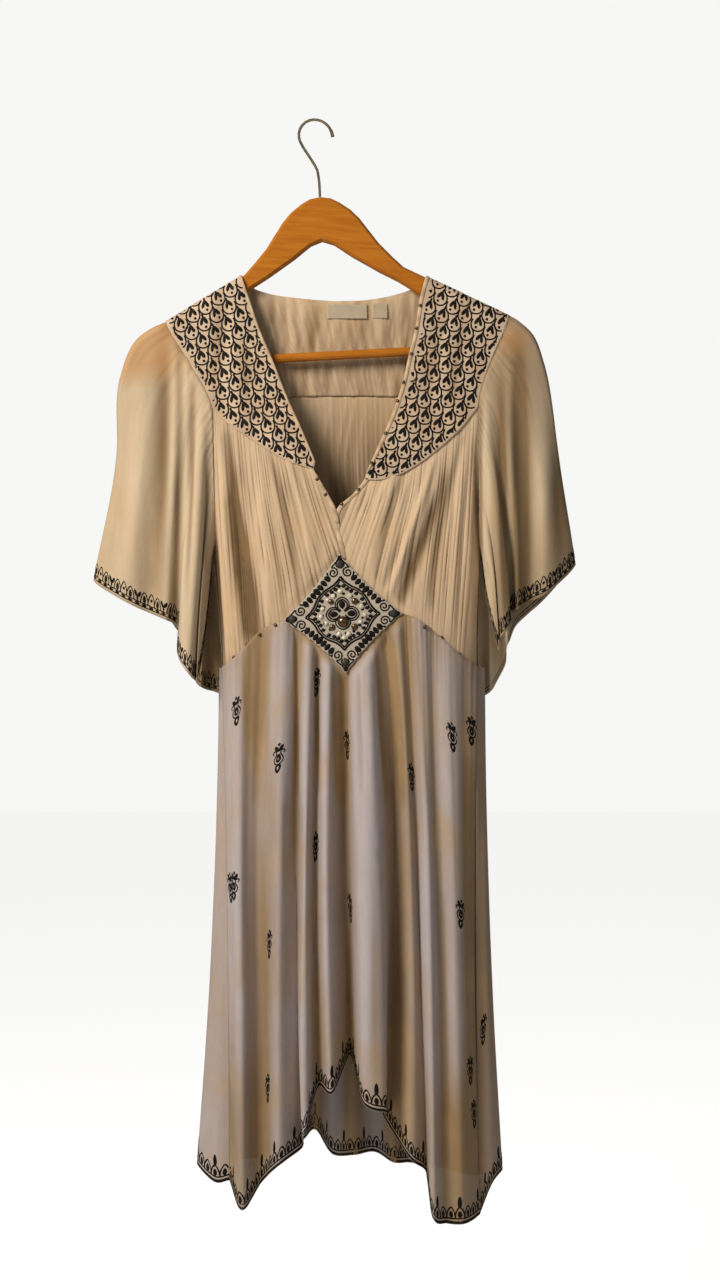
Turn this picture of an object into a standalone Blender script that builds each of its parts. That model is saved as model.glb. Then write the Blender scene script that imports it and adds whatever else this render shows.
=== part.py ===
"""A peasant dress on a wooden hanger, in metres, with +Z up and the front facing -Y.

The origin is at the inside top of the hook, where a rod holds the hanger.
Left and right are the sides as seen from the front: left is -X.
The tables hold millimetres. A height is measured from the origin, so most heights are below 0.
"""

import math

import bmesh
import bpy
import numpy as np

MM = 0.001
CLOTH = 1.2  # thickness of the cloth walls
SEAM = 0.6  # space between two pieces at a seam
WAIST_SEAM = 0.9
SLEEVE_SEAM = (0.6, 1.2)  # how far outside the armhole line a sleeve starts, on top and at the underarm
TILT = math.radians(3.0)  # the hanger hangs a little turned, with its right arm higher

# Hanger, measured in its own frame before the tilt
WIRE_RADIUS = 1.5
WIRE_SIDES = 8
HOOK_RADIUS = 16.3
HOOK_CENTRE = -2.6  # the arc's middle lies this far aside
HOOK_TIP_ANGLE = -8.0
HOOK_TURN_ANGLE = 202.0
HOOK_OPENING = 3.2  # how much wider the arc runs at its tip
HOOK_RINGS = 14
HOOK_TIP_RADIUS = 2.1
HOOK_NECK = [(-10.8, -34.0), (-5.2, -43.6), (-1.4, -51.5), (-0.3, -60.0), (0.0, -79.6)]
HOOK_NECK_RINGS = 10
BAR_RADIUS = 4.75
BAR_SIDES = 12
BAR_HEIGHT = -247.0
BAR_HALF_LENGTH = 163.6
ARM_START, ARM_END = 84.0, 176.0  # the straight stretch of the arm's upper edge
ARM_START_HEIGHT, ARM_END_HEIGHT = -158.0, -207.4
ARM_SLOPE = (ARM_END_HEIGHT - ARM_START_HEIGHT) / (ARM_END - ARM_START)
# reach from the middle, height
WOOD_UPPER = [
    (0.0, -80.0), (11.0, -81.8), (20.0, -86.6), (31.5, -95.0), (40.8, -105.0), (49.0, -116.8),
    (59.3, -131.6), (72.5, -146.2), (ARM_START, ARM_START_HEIGHT), (164.0, -201.0), (176.0, -208.4),
    (187.0, -217.0), (198.0, -226.8), (206.5, -238.0), (209.5, -246.0),
]
WOOD_LOWER = [
    (206.0, -251.5), (198.0, -253.5), (164.0, -253.0), (164.0, -238.0), (150.0, -222.0),
    (120.0, -203.0), (77.0, -173.6), (58.0, -162.8), (30.0, -145.0), (12.0, -131.8), (0.0, -127.6),
]
# distance from the wood's middle plane, how far its outline draws in there
WOOD_ROUNDING = [(-6.0, 3.3), (-4.5, 1.7), (-2.0, 0.35), (2.0, 0.35), (4.5, 1.7), (6.0, 3.3)]

# The cloth lies over the arm in a half round, just clear of the wood
WRAP_RADIUS = 8.0
WRAP_STEPS = 4
SHOULDER_LIFT = 1.0

# Body of the dress as a flattened tube
# height, left edge, right edge, extra half width of the round, depth in front, depth behind
BODY = [
    (-150.0, -160.0, 205.0, 65.0, 9.0, 9.0),
    (-213.0, -157.0, 201.0, 60.0, 11.0, 11.0),
    (-252.0, -134.0, 184.0, 55.0, 13.0, 12.5),
    (-300.0, -109.5, 170.5, 38.0, 16.5, 16.0),
    (-312.0, -108.4, 170.7, 32.5, 17.8, 17.2),
    (-347.0, -108.0, 171.0, 15.0, 22.0, 21.0),
    (-399.0, -107.0, 172.0, 5.0, 27.0, 25.0),
    (-446.0, -107.0, 172.0, 0.0, 30.0, 28.0),
    (-575.0, -98.5, 170.0, 0.0, 34.0, 32.0),
    (-640.0, -102.0, 178.0, 0.0, 37.0, 35.0),
    (-800.0, -108.0, 181.0, 0.0, 41.0, 38.0),
    (-1030.0, -119.0, 190.0, 0.0, 45.0, 42.0),
    (-1160.0, -128.0, 197.0, 0.0, 47.0, 44.0),
]
LEFT, RIGHT, ROUND, FRONT, BACK = 1, 2, 3, 4, 5
ROUND_POWER = 3.0
SHOULDER_HEIGHT, UNDERARM_HEIGHT = -207.0, -446.0

# Yokes, each edge as x, height
YOKE_CORNER_HEIGHT = -301.0
YOKE_NECK = {
    "left": [(-78.8, -160.5), (-69, -190), (-58, -222), (-44, -255), (-30, -291), (-15, -324), (0, -360)],
    "right": [
        (116, -160.5), (109, -187), (104, -219), (97, -248), (91, -275), (81, -306), (67, -339), (53.5, -369),
    ],
}
YOKE_LOWER = {
    "left": [(-109, -301), (-94, -317), (-74, -332), (-55, -344), (-41, -352.5), (-23, -361), (-2, -367.5)],
    "right": [(170.5, -301), (156, -320), (133, -342), (112, -359), (92, -371), (71, -378), (51, -378.5)],
}
YOKE_COLUMNS = 9
YOKE_UPPER_ROWS, YOKE_LOWER_ROWS = 4, 7
YOKE_CORNER_SHARE = 0.5  # the neck edge's share that lies above the corner

# Inner edge of each bodice front: share of the way down, x, height
BODICE_INNER = {
    "left": [(0, -2, -367.5), (0.14, 10.5, -389), (0.28, 21.2, -409), (0.6, 25.8, -458), (1, 30, -521)],
    "right": [(0, 51, -378.5), (0.14, 39, -393), (0.28, 22.0, -409), (0.6, 26.6, -458), (1, 30.8, -521)],
}
BODICE_ROWS = [0, 0.07, 0.14, 0.28, 0.38, 0.49, 0.6, 0.73, 0.87, 1]
BODICE_PLEATS = 12
BODICE_PLEAT_DEPTH = 1.7
BODICE_FADE = (0.08, 0.86, 0.6)  # shares between which the pleats swell, and how quickly
STEPS_A_PLEAT = 4
# Empire seam from the left side to the right side, in two halves that meet under the medallion
WAIST = {
    "left": [
        (-98.5, -575), (-86, -566), (-72, -551), (-59, -537), (-42, -529), (-30, -524), (0, -521.5),
        (30, -521),
    ],
    "right": [(170, -575), (150, -561), (130, -543), (112, -528), (90, -518), (60, -519.5), (30.8, -521)],
}
BACK_YOKE_HEIGHT = -287.0  # in the middle; its seam drops to the corners of the front yokes
BACK_WAIST_HEIGHT = -575.0
# halves of the back neckline, each from the shoulder to the middle
BACK_NECK = {
    "left": [(-79.3, -160.5), (-72.5, -169), (-65, -175), (-50, -180), (-17, -185), (18.5, -188)],
    "right": [(116.5, -160.5), (110, -168.5), (102, -174.5), (84, -181), (55, -186.5), (18.5, -188)],
}
BACK_SHOULDER_COLUMNS, BACK_NECK_COLUMNS = 6, 6
BACK_GATHERS = 11
BACK_GATHER_DEPTH = 2.2
BACK_FADE = (0.12, 0.8, 0.5)
BACK_ROWS = [0, 0.06, 0.15, 0.35, 0.6, 0.82, 1]

# Skirt front, a row for each ridge or valley from the left seam to the right seam
# x at the waist, at mid height and at the hem, how far it stands forward at each, height of the hem
SKIRT_FRONT = [
    (-98.0, -92.0, -89.0, 0.0, -3.0, -6.0, -1106.0),
    (-80.0, -78.0, -75.0, 2.5, 8.0, 12.0, -1131.0),
    (-56.0, -59.0, -57.0, -2.0, -7.0, -9.0, -1109.0),
    (-33.0, -37.0, -37.0, 2.5, 9.0, 12.0, -1084.0),
    (-17.0, -20.0, -13.0, -2.5, -9.0, -11.0, -1070.0),
    (-5.0, -10.0, -11.0, 2.5, 8.0, 12.0, -1051.0),
    (5.0, 0.0, 3.0, -2.5, -6.0, -4.0, -1007.0),
    (17.0, 12.0, 18.0, 3.0, 9.0, 12.0, -1010.0),
    (29.0, 30.0, 36.0, -3.5, -13.0, -19.0, -976.0),
    (42.0, 45.0, 50.0, 3.0, 11.0, 14.0, -1019.0),
    (56.0, 65.0, 72.0, 3.0, 11.0, 14.0, -1029.0),
    (69.0, 81.0, 70.0, -3.5, -15.0, -17.0, -1038.0),
    (82.0, 96.0, 98.0, 2.5, 4.0, 7.0, -1078.0),
    (94.0, 105.0, 115.0, -2.0, -4.0, -6.0, -1098.0),
    (108.0, 116.0, 121.5, 2.0, 8.0, 12.0, -1139.0),
    (122.0, 127.0, 136.0, -1.0, 1.0, 2.0, -1147.0),
    (138.0, 143.0, 151.0, 2.0, 8.0, 11.0, -1146.0),
    (155.0, 157.0, 162.0, 0.0, 3.0, 4.0, -1145.0),
    (169.0, 167.0, 171.0, 0.0, -3.0, -6.0, -1142.0),
]
SKIRT_MID_SHARE = 0.42
SKIRT_ROWS = [0, 0.04, 0.1, 0.2, 0.34, 0.5, 0.66, 0.8, 0.91, 1]
SKIRT_FRONT_STEPS = 3
SKIRT_BACK_STEPS = 2

# Skirt back, a row for each ridge or valley from the left seam round behind to the right seam
# x and y at the waist, at mid height and at the hem, height of the hem
SKIRT_BACK = [
    (-99.8, 1.0, -103.0, -10.0, -105.0, -25.0, -1109.0),
    (-100.0, 5.0, -106.5, 1.0, -124.0, -6.0, -1095.0),
    (-96.0, 13.0, -101.0, 17.0, -117.0, 20.0, -1098.0),
    (-84.0, 21.0, -88.0, 31.0, -94.0, 46.0, -1104.0),
    (-67.0, 20.0, -70.0, 22.0, -70.0, 28.0, -1096.0),
    (-50.0, 29.0, -52.0, 39.0, -50.0, 55.0, -1100.0),
    (-34.0, 24.0, -34.0, 28.0, -30.0, 32.0, -1090.0),
    (-16.0, 33.0, -16.0, 44.0, -14.0, 58.0, -1082.0),
    (1.0, 27.0, 1.0, 31.0, -1.0, 35.0, -1067.0),
    (18.0, 35.0, 19.0, 46.0, 16.0, 60.0, -1098.0),
    (36.0, 28.0, 38.0, 31.0, 40.0, 35.0, -1094.0),
    (54.0, 35.0, 56.0, 46.0, 62.0, 60.0, -1096.0),
    (72.0, 27.0, 74.0, 31.0, 82.0, 35.0, -1102.0),
    (90.0, 33.0, 92.0, 44.0, 100.0, 58.0, -1107.0),
    (107.0, 24.0, 110.0, 28.0, 118.0, 33.0, -1106.0),
    (124.0, 28.0, 128.0, 39.0, 138.0, 52.0, -1112.0),
    (141.0, 19.0, 145.0, 22.0, 156.0, 27.0, -1112.0),
    (156.0, 20.0, 164.0, 28.0, 176.0, 38.0, -1116.0),
    (168.0, 13.0, 177.0, 14.0, 191.0, 14.0, -1106.0),
    (175.5, 6.0, 181.0, 2.0, 195.0, -5.0, -1101.0),
    (174.5, 1.0, 178.0, -11.0, 184.0, -21.0, -1111.0),
]

# Sleeve, a row for each strand of cloth from the underarm up to the shoulder
# height where it starts, then out from the side, forward and height at three stations: over the arm,
# at mid length and at the hem; then the hem's height on the right sleeve and the bow over the arm
SLEEVE = [
    (-443.0, 1.6, 3.5, -449.0, 1.6, 3.5, -462.0, 0.5, 3.5, -490.0, -490.0, 0.0),
    (-432.0, 1.8, 8.5, -452.0, 0.5, 11.0, -488.0, -4.0, 12.5, -550.0, -552.0, 0.0),
    (-416.0, 2.5, 13.0, -440.0, 0.0, 19.0, -500.0, -8.0, 23.0, -593.0, -597.0, 0.0),
    (-398.0, 5.5, 16.0, -425.0, 5.5, 25.0, -500.0, 4.5, 31.0, -594.0, -600.0, 0.0),
    (-370.0, 7.0, 13.0, -400.0, 12.0, 15.0, -480.0, 16.0, 16.0, -589.0, -594.0, 0.0),
    (-345.0, 9.5, 16.0, -372.0, 17.0, 28.0, -460.0, 24.0, 36.0, -581.0, -586.0, 0.0),
    (-320.0, 12.5, 17.0, -350.0, 26.0, 27.0, -441.0, 36.0, 32.0, -560.0, -566.0, 0.0),
    (-301.0, 16.0, 15.0, -330.0, 29.5, 17.5, -430.0, 36.0, 15.0, -536.0, -550.0, 0.0),
    (-286.0, 21.5, 13.5, -314.0, 35.0, 16.5, -417.0, 41.0, 16.0, -528.0, -540.0, 0.0),
    (-270.0, 29.0, 14.0, -302.0, 44.0, 21.0, -400.0, 49.0, 26.0, -524.0, -531.0, 0.0),
    (-252.0, 47.0, 12.0, -288.0, 61.0, 15.0, -385.0, 66.0, 17.0, -517.0, -517.0, 0.0),
    (-238.0, 65.0, 11.0, -279.0, 78.0, 17.0, -372.0, 86.0, 21.0, -508.0, -503.0, 2.0),
]
# the same for the strands over the arm, with the turn of the half round in place of a height
SLEEVE_TOP = [
    (90.0, 90.5, 8.6, -271.0, 97.0, 9.0, -354.0, 111.0, 11.0, -494.0, -480.0, 9.4),
    (45.0, 95.5, 6.1, -268.5, 101.0, 5.5, -352.0, 122.0, 5.0, -487.0, -471.0, 10.8),
    (0.0, 97.5, 0.0, -268.0, 102.0, 0.0, -352.0, 126.5, 0.0, -482.0, -466.0, 11.0),
]
SLEEVE_SIDE = -107.0, 172.0  # where "out" is measured from
SLEEVE_BACK_DROP, SLEEVE_BACK_REACH = 5.0, 45.0  # the back layer hangs lower, out to this reach
SLEEVE_STATIONS = (0, 0.13, 0.26, 0.54, 1)
SLEEVE_ROWS = [0, 0.05, 0.11, 0.19, 0.3, 0.45, 0.62, 0.8, 1]
SLEEVE_STEPS = 2
# how far the right sleeve stands out at each station, how much it is lifted and its bow, as shares
RIGHT_SPREAD = (0.685, 0.795, 0.795)
RIGHT_LIFT = 0.13
RIGHT_BOW = 0.72

MEDALLION_CENTRE = (30.2, -518.2)
MEDALLION_HALF = (60.0, 61.0)
MEDALLION_TILT = math.radians(2.2)
MEDALLION_THICKNESS = 1.2
MEDALLION_HOLLOW = 0.07  # how far its sides draw in
MEDALLION_STEPS = 12
MEDALLION_STAND = 0.9  # clear space over the panels
MEDALLION_CALM = (1.15, 1.6)  # the pleats fade out between these shares of its size
BEAD_DROP = 4.0  # the large bead sits this much under the middle
BEAD_RADIUS, BEAD_RISE = 6.0, 4.6

# Labels inside the neck: left, right, top, bottom
NECK_LABEL = (12.0, 54.0, -191.5, -206.5)
SIZE_TAG = (60.0, 75.0, -190.5, -206.0)
LABEL_THICKNESS = 1.0
LABEL_STAND = 0.3

YOKE_COTTON = (0.66, 0.50, 0.34)
BODICE_COTTON = (0.72, 0.55, 0.36)
SLEEVE_COTTON = (0.70, 0.53, 0.33)
SKIRT_COTTON = (0.58, 0.52, 0.47)
BLACK_WORK = (0.16, 0.13, 0.10)
LABEL_SATIN = (0.66, 0.62, 0.52)
VARNISH = (0.50, 0.17, 0.02)
BRASS = (0.60, 0.46, 0.26)
BRONZE = (0.22, 0.15, 0.08)


def flow(knots, values, at):
    """Values that run smoothly through the knots, read at other places."""
    knots, values, at = (np.asarray(v, float) for v in (knots, values, at))
    if knots[0] > knots[-1]:
        knots, values = knots[::-1], values[::-1]
    at = np.clip(at, knots[0], knots[-1])
    slopes = np.gradient(values, knots, axis=0)
    i = np.clip(np.searchsorted(knots, at, side="right") - 1, 0, len(knots) - 2)
    span = knots[i + 1] - knots[i]
    t = (at - knots[i]) / span
    if values.ndim > 1:
        extra = (1,) * (values.ndim - 1)
        span, t = span.reshape(span.shape + extra), t.reshape(t.shape + extra)
    rise = t * t * (3 - 2 * t)
    leans = slopes[i] * t * (1 - t) ** 2 * span + slopes[i + 1] * t * t * (t - 1) * span
    return values[i] * (1 - rise) + values[i + 1] * rise + leans


def along(points, shares):
    """Points at the given shares of a smooth line's length."""
    points = np.asarray(points, float)
    lengths = np.concatenate([[0], np.cumsum(np.linalg.norm(np.diff(points, axis=0), axis=1))])
    return flow(lengths / lengths[-1], points, shares)


def body_column(height, column):
    """One column of the body's table at any height."""
    table = np.array(BODY)
    return flow(table[:, 0], table[:, column], height)


def below_shoulder(x, height):
    """How far a place lies below the line of the cloth's shoulder, square to that line."""
    across = x * math.cos(TILT) + height * math.sin(TILT)
    up = -x * math.sin(TILT) + height * math.cos(TILT)
    line = ARM_START_HEIGHT + SHOULDER_LIFT + (np.abs(across) - ARM_START) * ARM_SLOPE
    return (line - up) / math.hypot(1, ARM_SLOPE)


def depth(x, height, column):
    """How far the body's cloth stands from the middle plane, in FRONT or at the BACK."""
    left, right = body_column(height, LEFT), body_column(height, RIGHT)
    half = (right - left) / 2 + body_column(height, ROUND)
    across = np.clip(np.abs(x - (left + right) / 2) / half, 0, 1)
    full = body_column(height, column) * np.sqrt(1 - across ** ROUND_POWER)
    wrap = np.clip(below_shoulder(x, height) / WRAP_RADIUS, 0, 1)
    return np.maximum(full * np.sqrt(1 - (1 - wrap) ** 2), SEAM)


def patch(top, bottom, first, last, shares):
    """A plan of rows and columns that fills the space between four edges."""
    v = np.asarray(shares, float)[:, None, None]
    u = np.linspace(0, 1, len(top))[None, :, None]
    ends = (1 - u) * (1 - v) * top[0] + u * (1 - v) * top[-1] + (1 - u) * v * bottom[0] + u * v * bottom[-1]
    return (1 - v) * top + v * bottom + (1 - u) * first[:, None] + u * last[:, None] - ends


def lowered(edge, distance):
    """An edge in the plan moved down, by a distance that is measured square to it."""
    slope = np.gradient(edge[:, 1], edge[:, 0])
    return edge - np.stack([0 * slope, distance * np.hypot(1, slope)], axis=1)


def body(name, points, faces, colour, roughness=0.8, metallic=0.0):
    """One closed body with its own material, its faces turned outwards."""
    mesh = bpy.data.meshes.new(name)
    mesh.from_pydata([tuple(p) for p in np.asarray(points) * MM], [], faces)
    work = bmesh.new()
    work.from_mesh(mesh)
    bmesh.ops.recalc_face_normals(work, faces=work.faces)
    if work.calc_volume(signed=True) < 0:
        bmesh.ops.reverse_faces(work, faces=work.faces)
    work.to_mesh(mesh)
    work.free()
    mesh.shade_smooth()
    mesh.set_sharp_from_angle(angle=math.radians(50))
    piece = bpy.data.objects.new(name, mesh)
    bpy.context.scene.collection.objects.link(piece)
    material = bpy.data.materials.new(name)
    material.use_nodes = True
    shader = material.node_tree.nodes["Principled BSDF"]
    shader.inputs["Base Color"].default_value = (*colour, 1.0)
    shader.inputs["Roughness"].default_value = roughness
    shader.inputs["Metallic"].default_value = metallic
    mesh.materials.append(material)
    return piece


def wall(name, grid, thickness, colour):
    """A closed wall round a grid of middle points, with an even thickness along smooth normals."""
    normals = np.cross(np.gradient(grid, axis=1), np.gradient(grid, axis=0))
    normals /= np.linalg.norm(normals, axis=2, keepdims=True)
    rows, columns = grid.shape[:2]
    sides = [grid + normals * thickness / 2, grid - normals * thickness / 2]
    points = np.concatenate([side.reshape(-1, 3) for side in sides])
    behind = rows * columns
    faces = []
    for r in range(rows - 1):
        for c in range(columns - 1):
            a = r * columns + c
            b, d, e = a + 1, a + columns + 1, a + columns
            faces += [(a, b, d), (a, d, e)]
            faces += [(behind + a, behind + d, behind + b), (behind + a, behind + e, behind + d)]
    rim = list(range(columns)) + [r * columns + columns - 1 for r in range(1, rows)]
    rim += [(rows - 1) * columns + c for c in range(columns - 2, -1, -1)]
    rim += [r * columns for r in range(rows - 2, 0, -1)]
    for a, b in zip(rim, rim[1:] + rim[:1]):
        faces += [(b, a, behind + a), (b, behind + a, behind + b)]
    return body(name, points, faces, colour)


def rings(name, layers, colour, roughness, metallic=0.0):
    """A closed body through rings of equal numbers of points."""
    count = len(layers[0])
    faces = []
    for layer in range(len(layers) - 1):
        for k in range(count):
            a, b = layer * count + k, layer * count + (k + 1) % count
            faces.append((a, b, b + count, a + count))
    last = (len(layers) - 1) * count
    faces += [tuple(range(count - 1, -1, -1)), tuple(range(last, last + count))]
    return body(name, np.concatenate(layers), faces, colour, roughness, metallic)


def tilted(points):
    """Points of the hanger's own frame, as x, y, height, turned by its tilt."""
    points = np.asarray(points, float)
    x = points[:, 0] * math.cos(TILT) - points[:, 2] * math.sin(TILT)
    z = points[:, 0] * math.sin(TILT) + points[:, 2] * math.cos(TILT)
    return np.stack([x, points[:, 1], z], axis=1)


def tube(name, path, radii, sides, colour, roughness, metallic):
    """A round bar along a path in the hanger's middle plane."""
    steps = np.gradient(path, axis=0)
    steps /= np.linalg.norm(steps, axis=1, keepdims=True)
    turns = 2 * math.pi * (np.arange(sides) + 0.5) / sides
    layers = []
    for (x, z), (dx, dz), radius in zip(path, steps, radii):
        out, aside = radius * np.cos(turns), radius * np.sin(turns)
        layers.append(tilted(np.stack([x - dz * out, aside, z + dx * out], axis=1)))
    return rings(name, layers, colour, roughness, metallic)


def hanger_wood():
    """The wooden shoulders, with rounded edges."""
    half = WOOD_UPPER + WOOD_LOWER
    outline = np.array(half + [(-x, z) for x, z in half[-2:0:-1]])
    into = outline - np.roll(outline, 1, axis=0)
    into /= np.linalg.norm(into, axis=1, keepdims=True)
    square = np.stack([into[:, 1], -into[:, 0]], axis=1)
    inward = square + np.roll(square, -1, axis=0)
    inward /= (inward * square).sum(1)[:, None]
    layers = []
    for aside, drawn_in in WOOD_ROUNDING:
        ring = outline + inward * drawn_in
        layers.append(tilted(np.stack([ring[:, 0], np.full(len(ring), aside), ring[:, 1]], axis=1)))
    rings("hanger_wood", layers, VARNISH, 0.3)


def hanger_bar():
    """The bar between the ends of the shoulders."""
    path = np.array([(-BAR_HALF_LENGTH, BAR_HEIGHT), (0, BAR_HEIGHT), (BAR_HALF_LENGTH, BAR_HEIGHT)])
    tube("hanger_bar", path, [BAR_RADIUS] * len(path), BAR_SIDES, VARNISH, 0.3, 0.0)


def hanger_hook():
    """The wire hook: a round arc that bends into a straight stem on top of the wood."""
    centre = WIRE_RADIUS - HOOK_RADIUS
    turns = np.radians(np.linspace(HOOK_TIP_ANGLE, HOOK_TURN_ANGLE, HOOK_RINGS))
    radius = HOOK_RADIUS + HOOK_OPENING * np.clip(1 - np.linspace(0, 2.2, HOOK_RINGS), 0, 1) ** 2
    arc = np.stack([HOOK_CENTRE + radius * np.cos(turns), centre + radius * np.sin(turns)], axis=1)
    knots = np.concatenate([arc[-2:], HOOK_NECK])
    lengths = np.concatenate([[0], np.cumsum(np.linalg.norm(np.diff(knots, axis=0), axis=1))])
    neck = flow(lengths, knots, np.linspace(lengths[1], lengths[-1], HOOK_NECK_RINGS)[1:])
    path = np.concatenate([arc, neck])
    radii = np.full(len(path), WIRE_RADIUS)
    radii[:2] = HOOK_TIP_RADIUS, (HOOK_TIP_RADIUS + WIRE_RADIUS) / 2
    tube("hanger_hook", path, radii, WIRE_SIDES, BRASS, 0.25, 1.0)


def wrap_distances():
    """Distances below the shoulder line that divide the half round evenly."""
    turns = np.radians(90) * np.arange(WRAP_STEPS + 1) / WRAP_STEPS
    return WRAP_RADIUS * (1 - np.cos(turns))


def at_distances(line, distances):
    """Points of a smooth line that lie at these distances below the shoulder line."""
    fine = along(line, np.linspace(0, 1, 400))
    below = below_shoulder(fine[:, 0], fine[:, 1])
    return np.stack([np.interp(distances, below, fine[:, k]) for k in (0, 1)], axis=1)


def share_at(line, place):
    """The share of a smooth line's length at which it reaches a place's height."""
    fine = along(line, np.linspace(0, 1, 400))
    return float(np.interp(-place[1], -fine[:, 1], np.linspace(0, 1, 400)))


def armhole_edge(side, heights):
    """Edge of the panels at the armhole and the side seam, at these heights."""
    x = body_column(heights, LEFT if side == "left" else RIGHT)
    return np.stack([x, heights], axis=1)


def armhole_line(side, lowest):
    """The armhole edge from the shoulder line down to a height, as a line of close points."""
    line = armhole_edge(side, np.linspace(-190, lowest, 200))
    highest = np.interp(0, below_shoulder(line[:, 0], line[:, 1]), line[:, 1])
    return armhole_edge(side, np.linspace(highest, lowest, 200))


def outward(side):
    return -1 if side == "left" else 1


def stand(plan, forward, towards):
    """Lift a plan of x and height off the middle plane: towards is -1 in front and 1 behind."""
    return np.stack([plan[..., 0], towards * forward, plan[..., 1]], axis=2)


def calm(plan):
    """0 under the medallion, rising to 1 round it, so that it lies on quiet cloth."""
    x, z = plan[..., 0] - MEDALLION_CENTRE[0], plan[..., 1] - MEDALLION_CENTRE[1]
    across = x * math.cos(MEDALLION_TILT) + z * math.sin(MEDALLION_TILT)
    up = -x * math.sin(MEDALLION_TILT) + z * math.cos(MEDALLION_TILT)
    share = np.abs(across) / MEDALLION_HALF[0] + np.abs(up) / MEDALLION_HALF[1]
    t = np.clip((share - MEDALLION_CALM[0]) / (MEDALLION_CALM[1] - MEDALLION_CALM[0]), 0, 1)
    return t * t * (3 - 2 * t)


def swell(shares, fade):
    """How strong the pleats are on the way down a panel."""
    return np.sin(math.pi * np.clip(shares, fade[0], fade[1])) ** fade[2]


def front_yoke(side):
    """A front yoke: from the top of the arm, down its neck and armhole edges, to a narrow tip."""
    armhole = armhole_line(side, YOKE_CORNER_HEIGHT)
    armhole = armhole - [(outward(side) * SEAM / 2, 0)]
    neck = YOKE_NECK[side]
    upper, lower = (np.linspace(0, 1, rows + 1)[1:] for rows in (YOKE_UPPER_ROWS, YOKE_LOWER_ROWS))
    outer_start, neck_start = (at_distances(line, wrap_distances()) for line in (armhole, neck))
    share = share_at(armhole, outer_start[-1])
    outer_upper = along(armhole, share + (1 - share) * upper)
    share = share_at(neck, neck_start[-1])
    neck_upper = along(neck, share + (YOKE_CORNER_SHARE - share) * upper)
    outer = np.concatenate([outer_start, outer_upper, along(YOKE_LOWER[side], lower)])
    neck_lower = along(neck, YOKE_CORNER_SHARE + (1 - YOKE_CORNER_SHARE) * lower)
    inner = np.concatenate([neck_start, neck_upper, neck_lower])
    across = np.linspace(0, 1, YOKE_COLUMNS)[None, :, None]
    plan = inner[:, None] * (1 - across) + outer[:, None] * across
    forward = depth(plan[..., 0], plan[..., 1], FRONT)
    forward[0] = SEAM / 2
    wall("front_yoke_" + side, stand(plan, forward, -1), CLOTH, YOKE_COTTON)


def bodice_inner(side):
    table = np.array(BODICE_INNER[side], float)
    return np.stack([np.interp(BODICE_ROWS, table[:, 0], table[:, k]) for k in (1, 2)], axis=1)


def front_bodice(side):
    """A bodice front, pleated from the yoke's lower edge down to the empire seam."""
    columns = BODICE_PLEATS * STEPS_A_PLEAT + 1
    u = np.linspace(0, 1, columns)
    top = lowered(along(YOKE_LOWER[side], u), SEAM)
    bottom = lowered(along(WAIST[side], u), -WAIST_SEAM / 2)
    shares = np.array(BODICE_ROWS)
    heights = top[0, 1] + (bottom[0, 1] - top[0, 1]) * shares
    side_edge = armhole_edge(side, heights) - [(outward(side) * SEAM / 2, 0)]
    for edge, end in ((top, side_edge[0, 0]), (bottom, side_edge[-1, 0])):
        edge[0] += (end - edge[0, 0]) * (edge[1] - edge[0]) / (edge[1, 0] - edge[0, 0])
    inner = bodice_inner(side)
    inner[0], inner[-1] = top[-1], bottom[-1]
    plan = patch(top, bottom, side_edge, inner, shares)
    fade = swell(shares, BODICE_FADE)
    pleats = 0.5 - 0.5 * np.cos(2 * math.pi * BODICE_PLEATS * u)
    pleats = BODICE_PLEAT_DEPTH * pleats[None, :] * fade[:, None] * calm(plan)
    forward = depth(plan[..., 0], plan[..., 1], FRONT) + pleats
    wall("front_bodice_" + side, stand(plan, forward, -1), CLOTH, BODICE_COTTON)


def back_yoke_seam(x):
    """Height of the back yoke's seam: level in the middle, lower at the armholes."""
    left, right = (armhole_edge(side, np.array([YOKE_CORNER_HEIGHT]))[0, 0] for side in ("left", "right"))
    across = np.abs(2 * x - left - right) / (right - left)
    return BACK_YOKE_HEIGHT + (YOKE_CORNER_HEIGHT - BACK_YOKE_HEIGHT) * np.minimum(across, 1) ** 3


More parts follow.
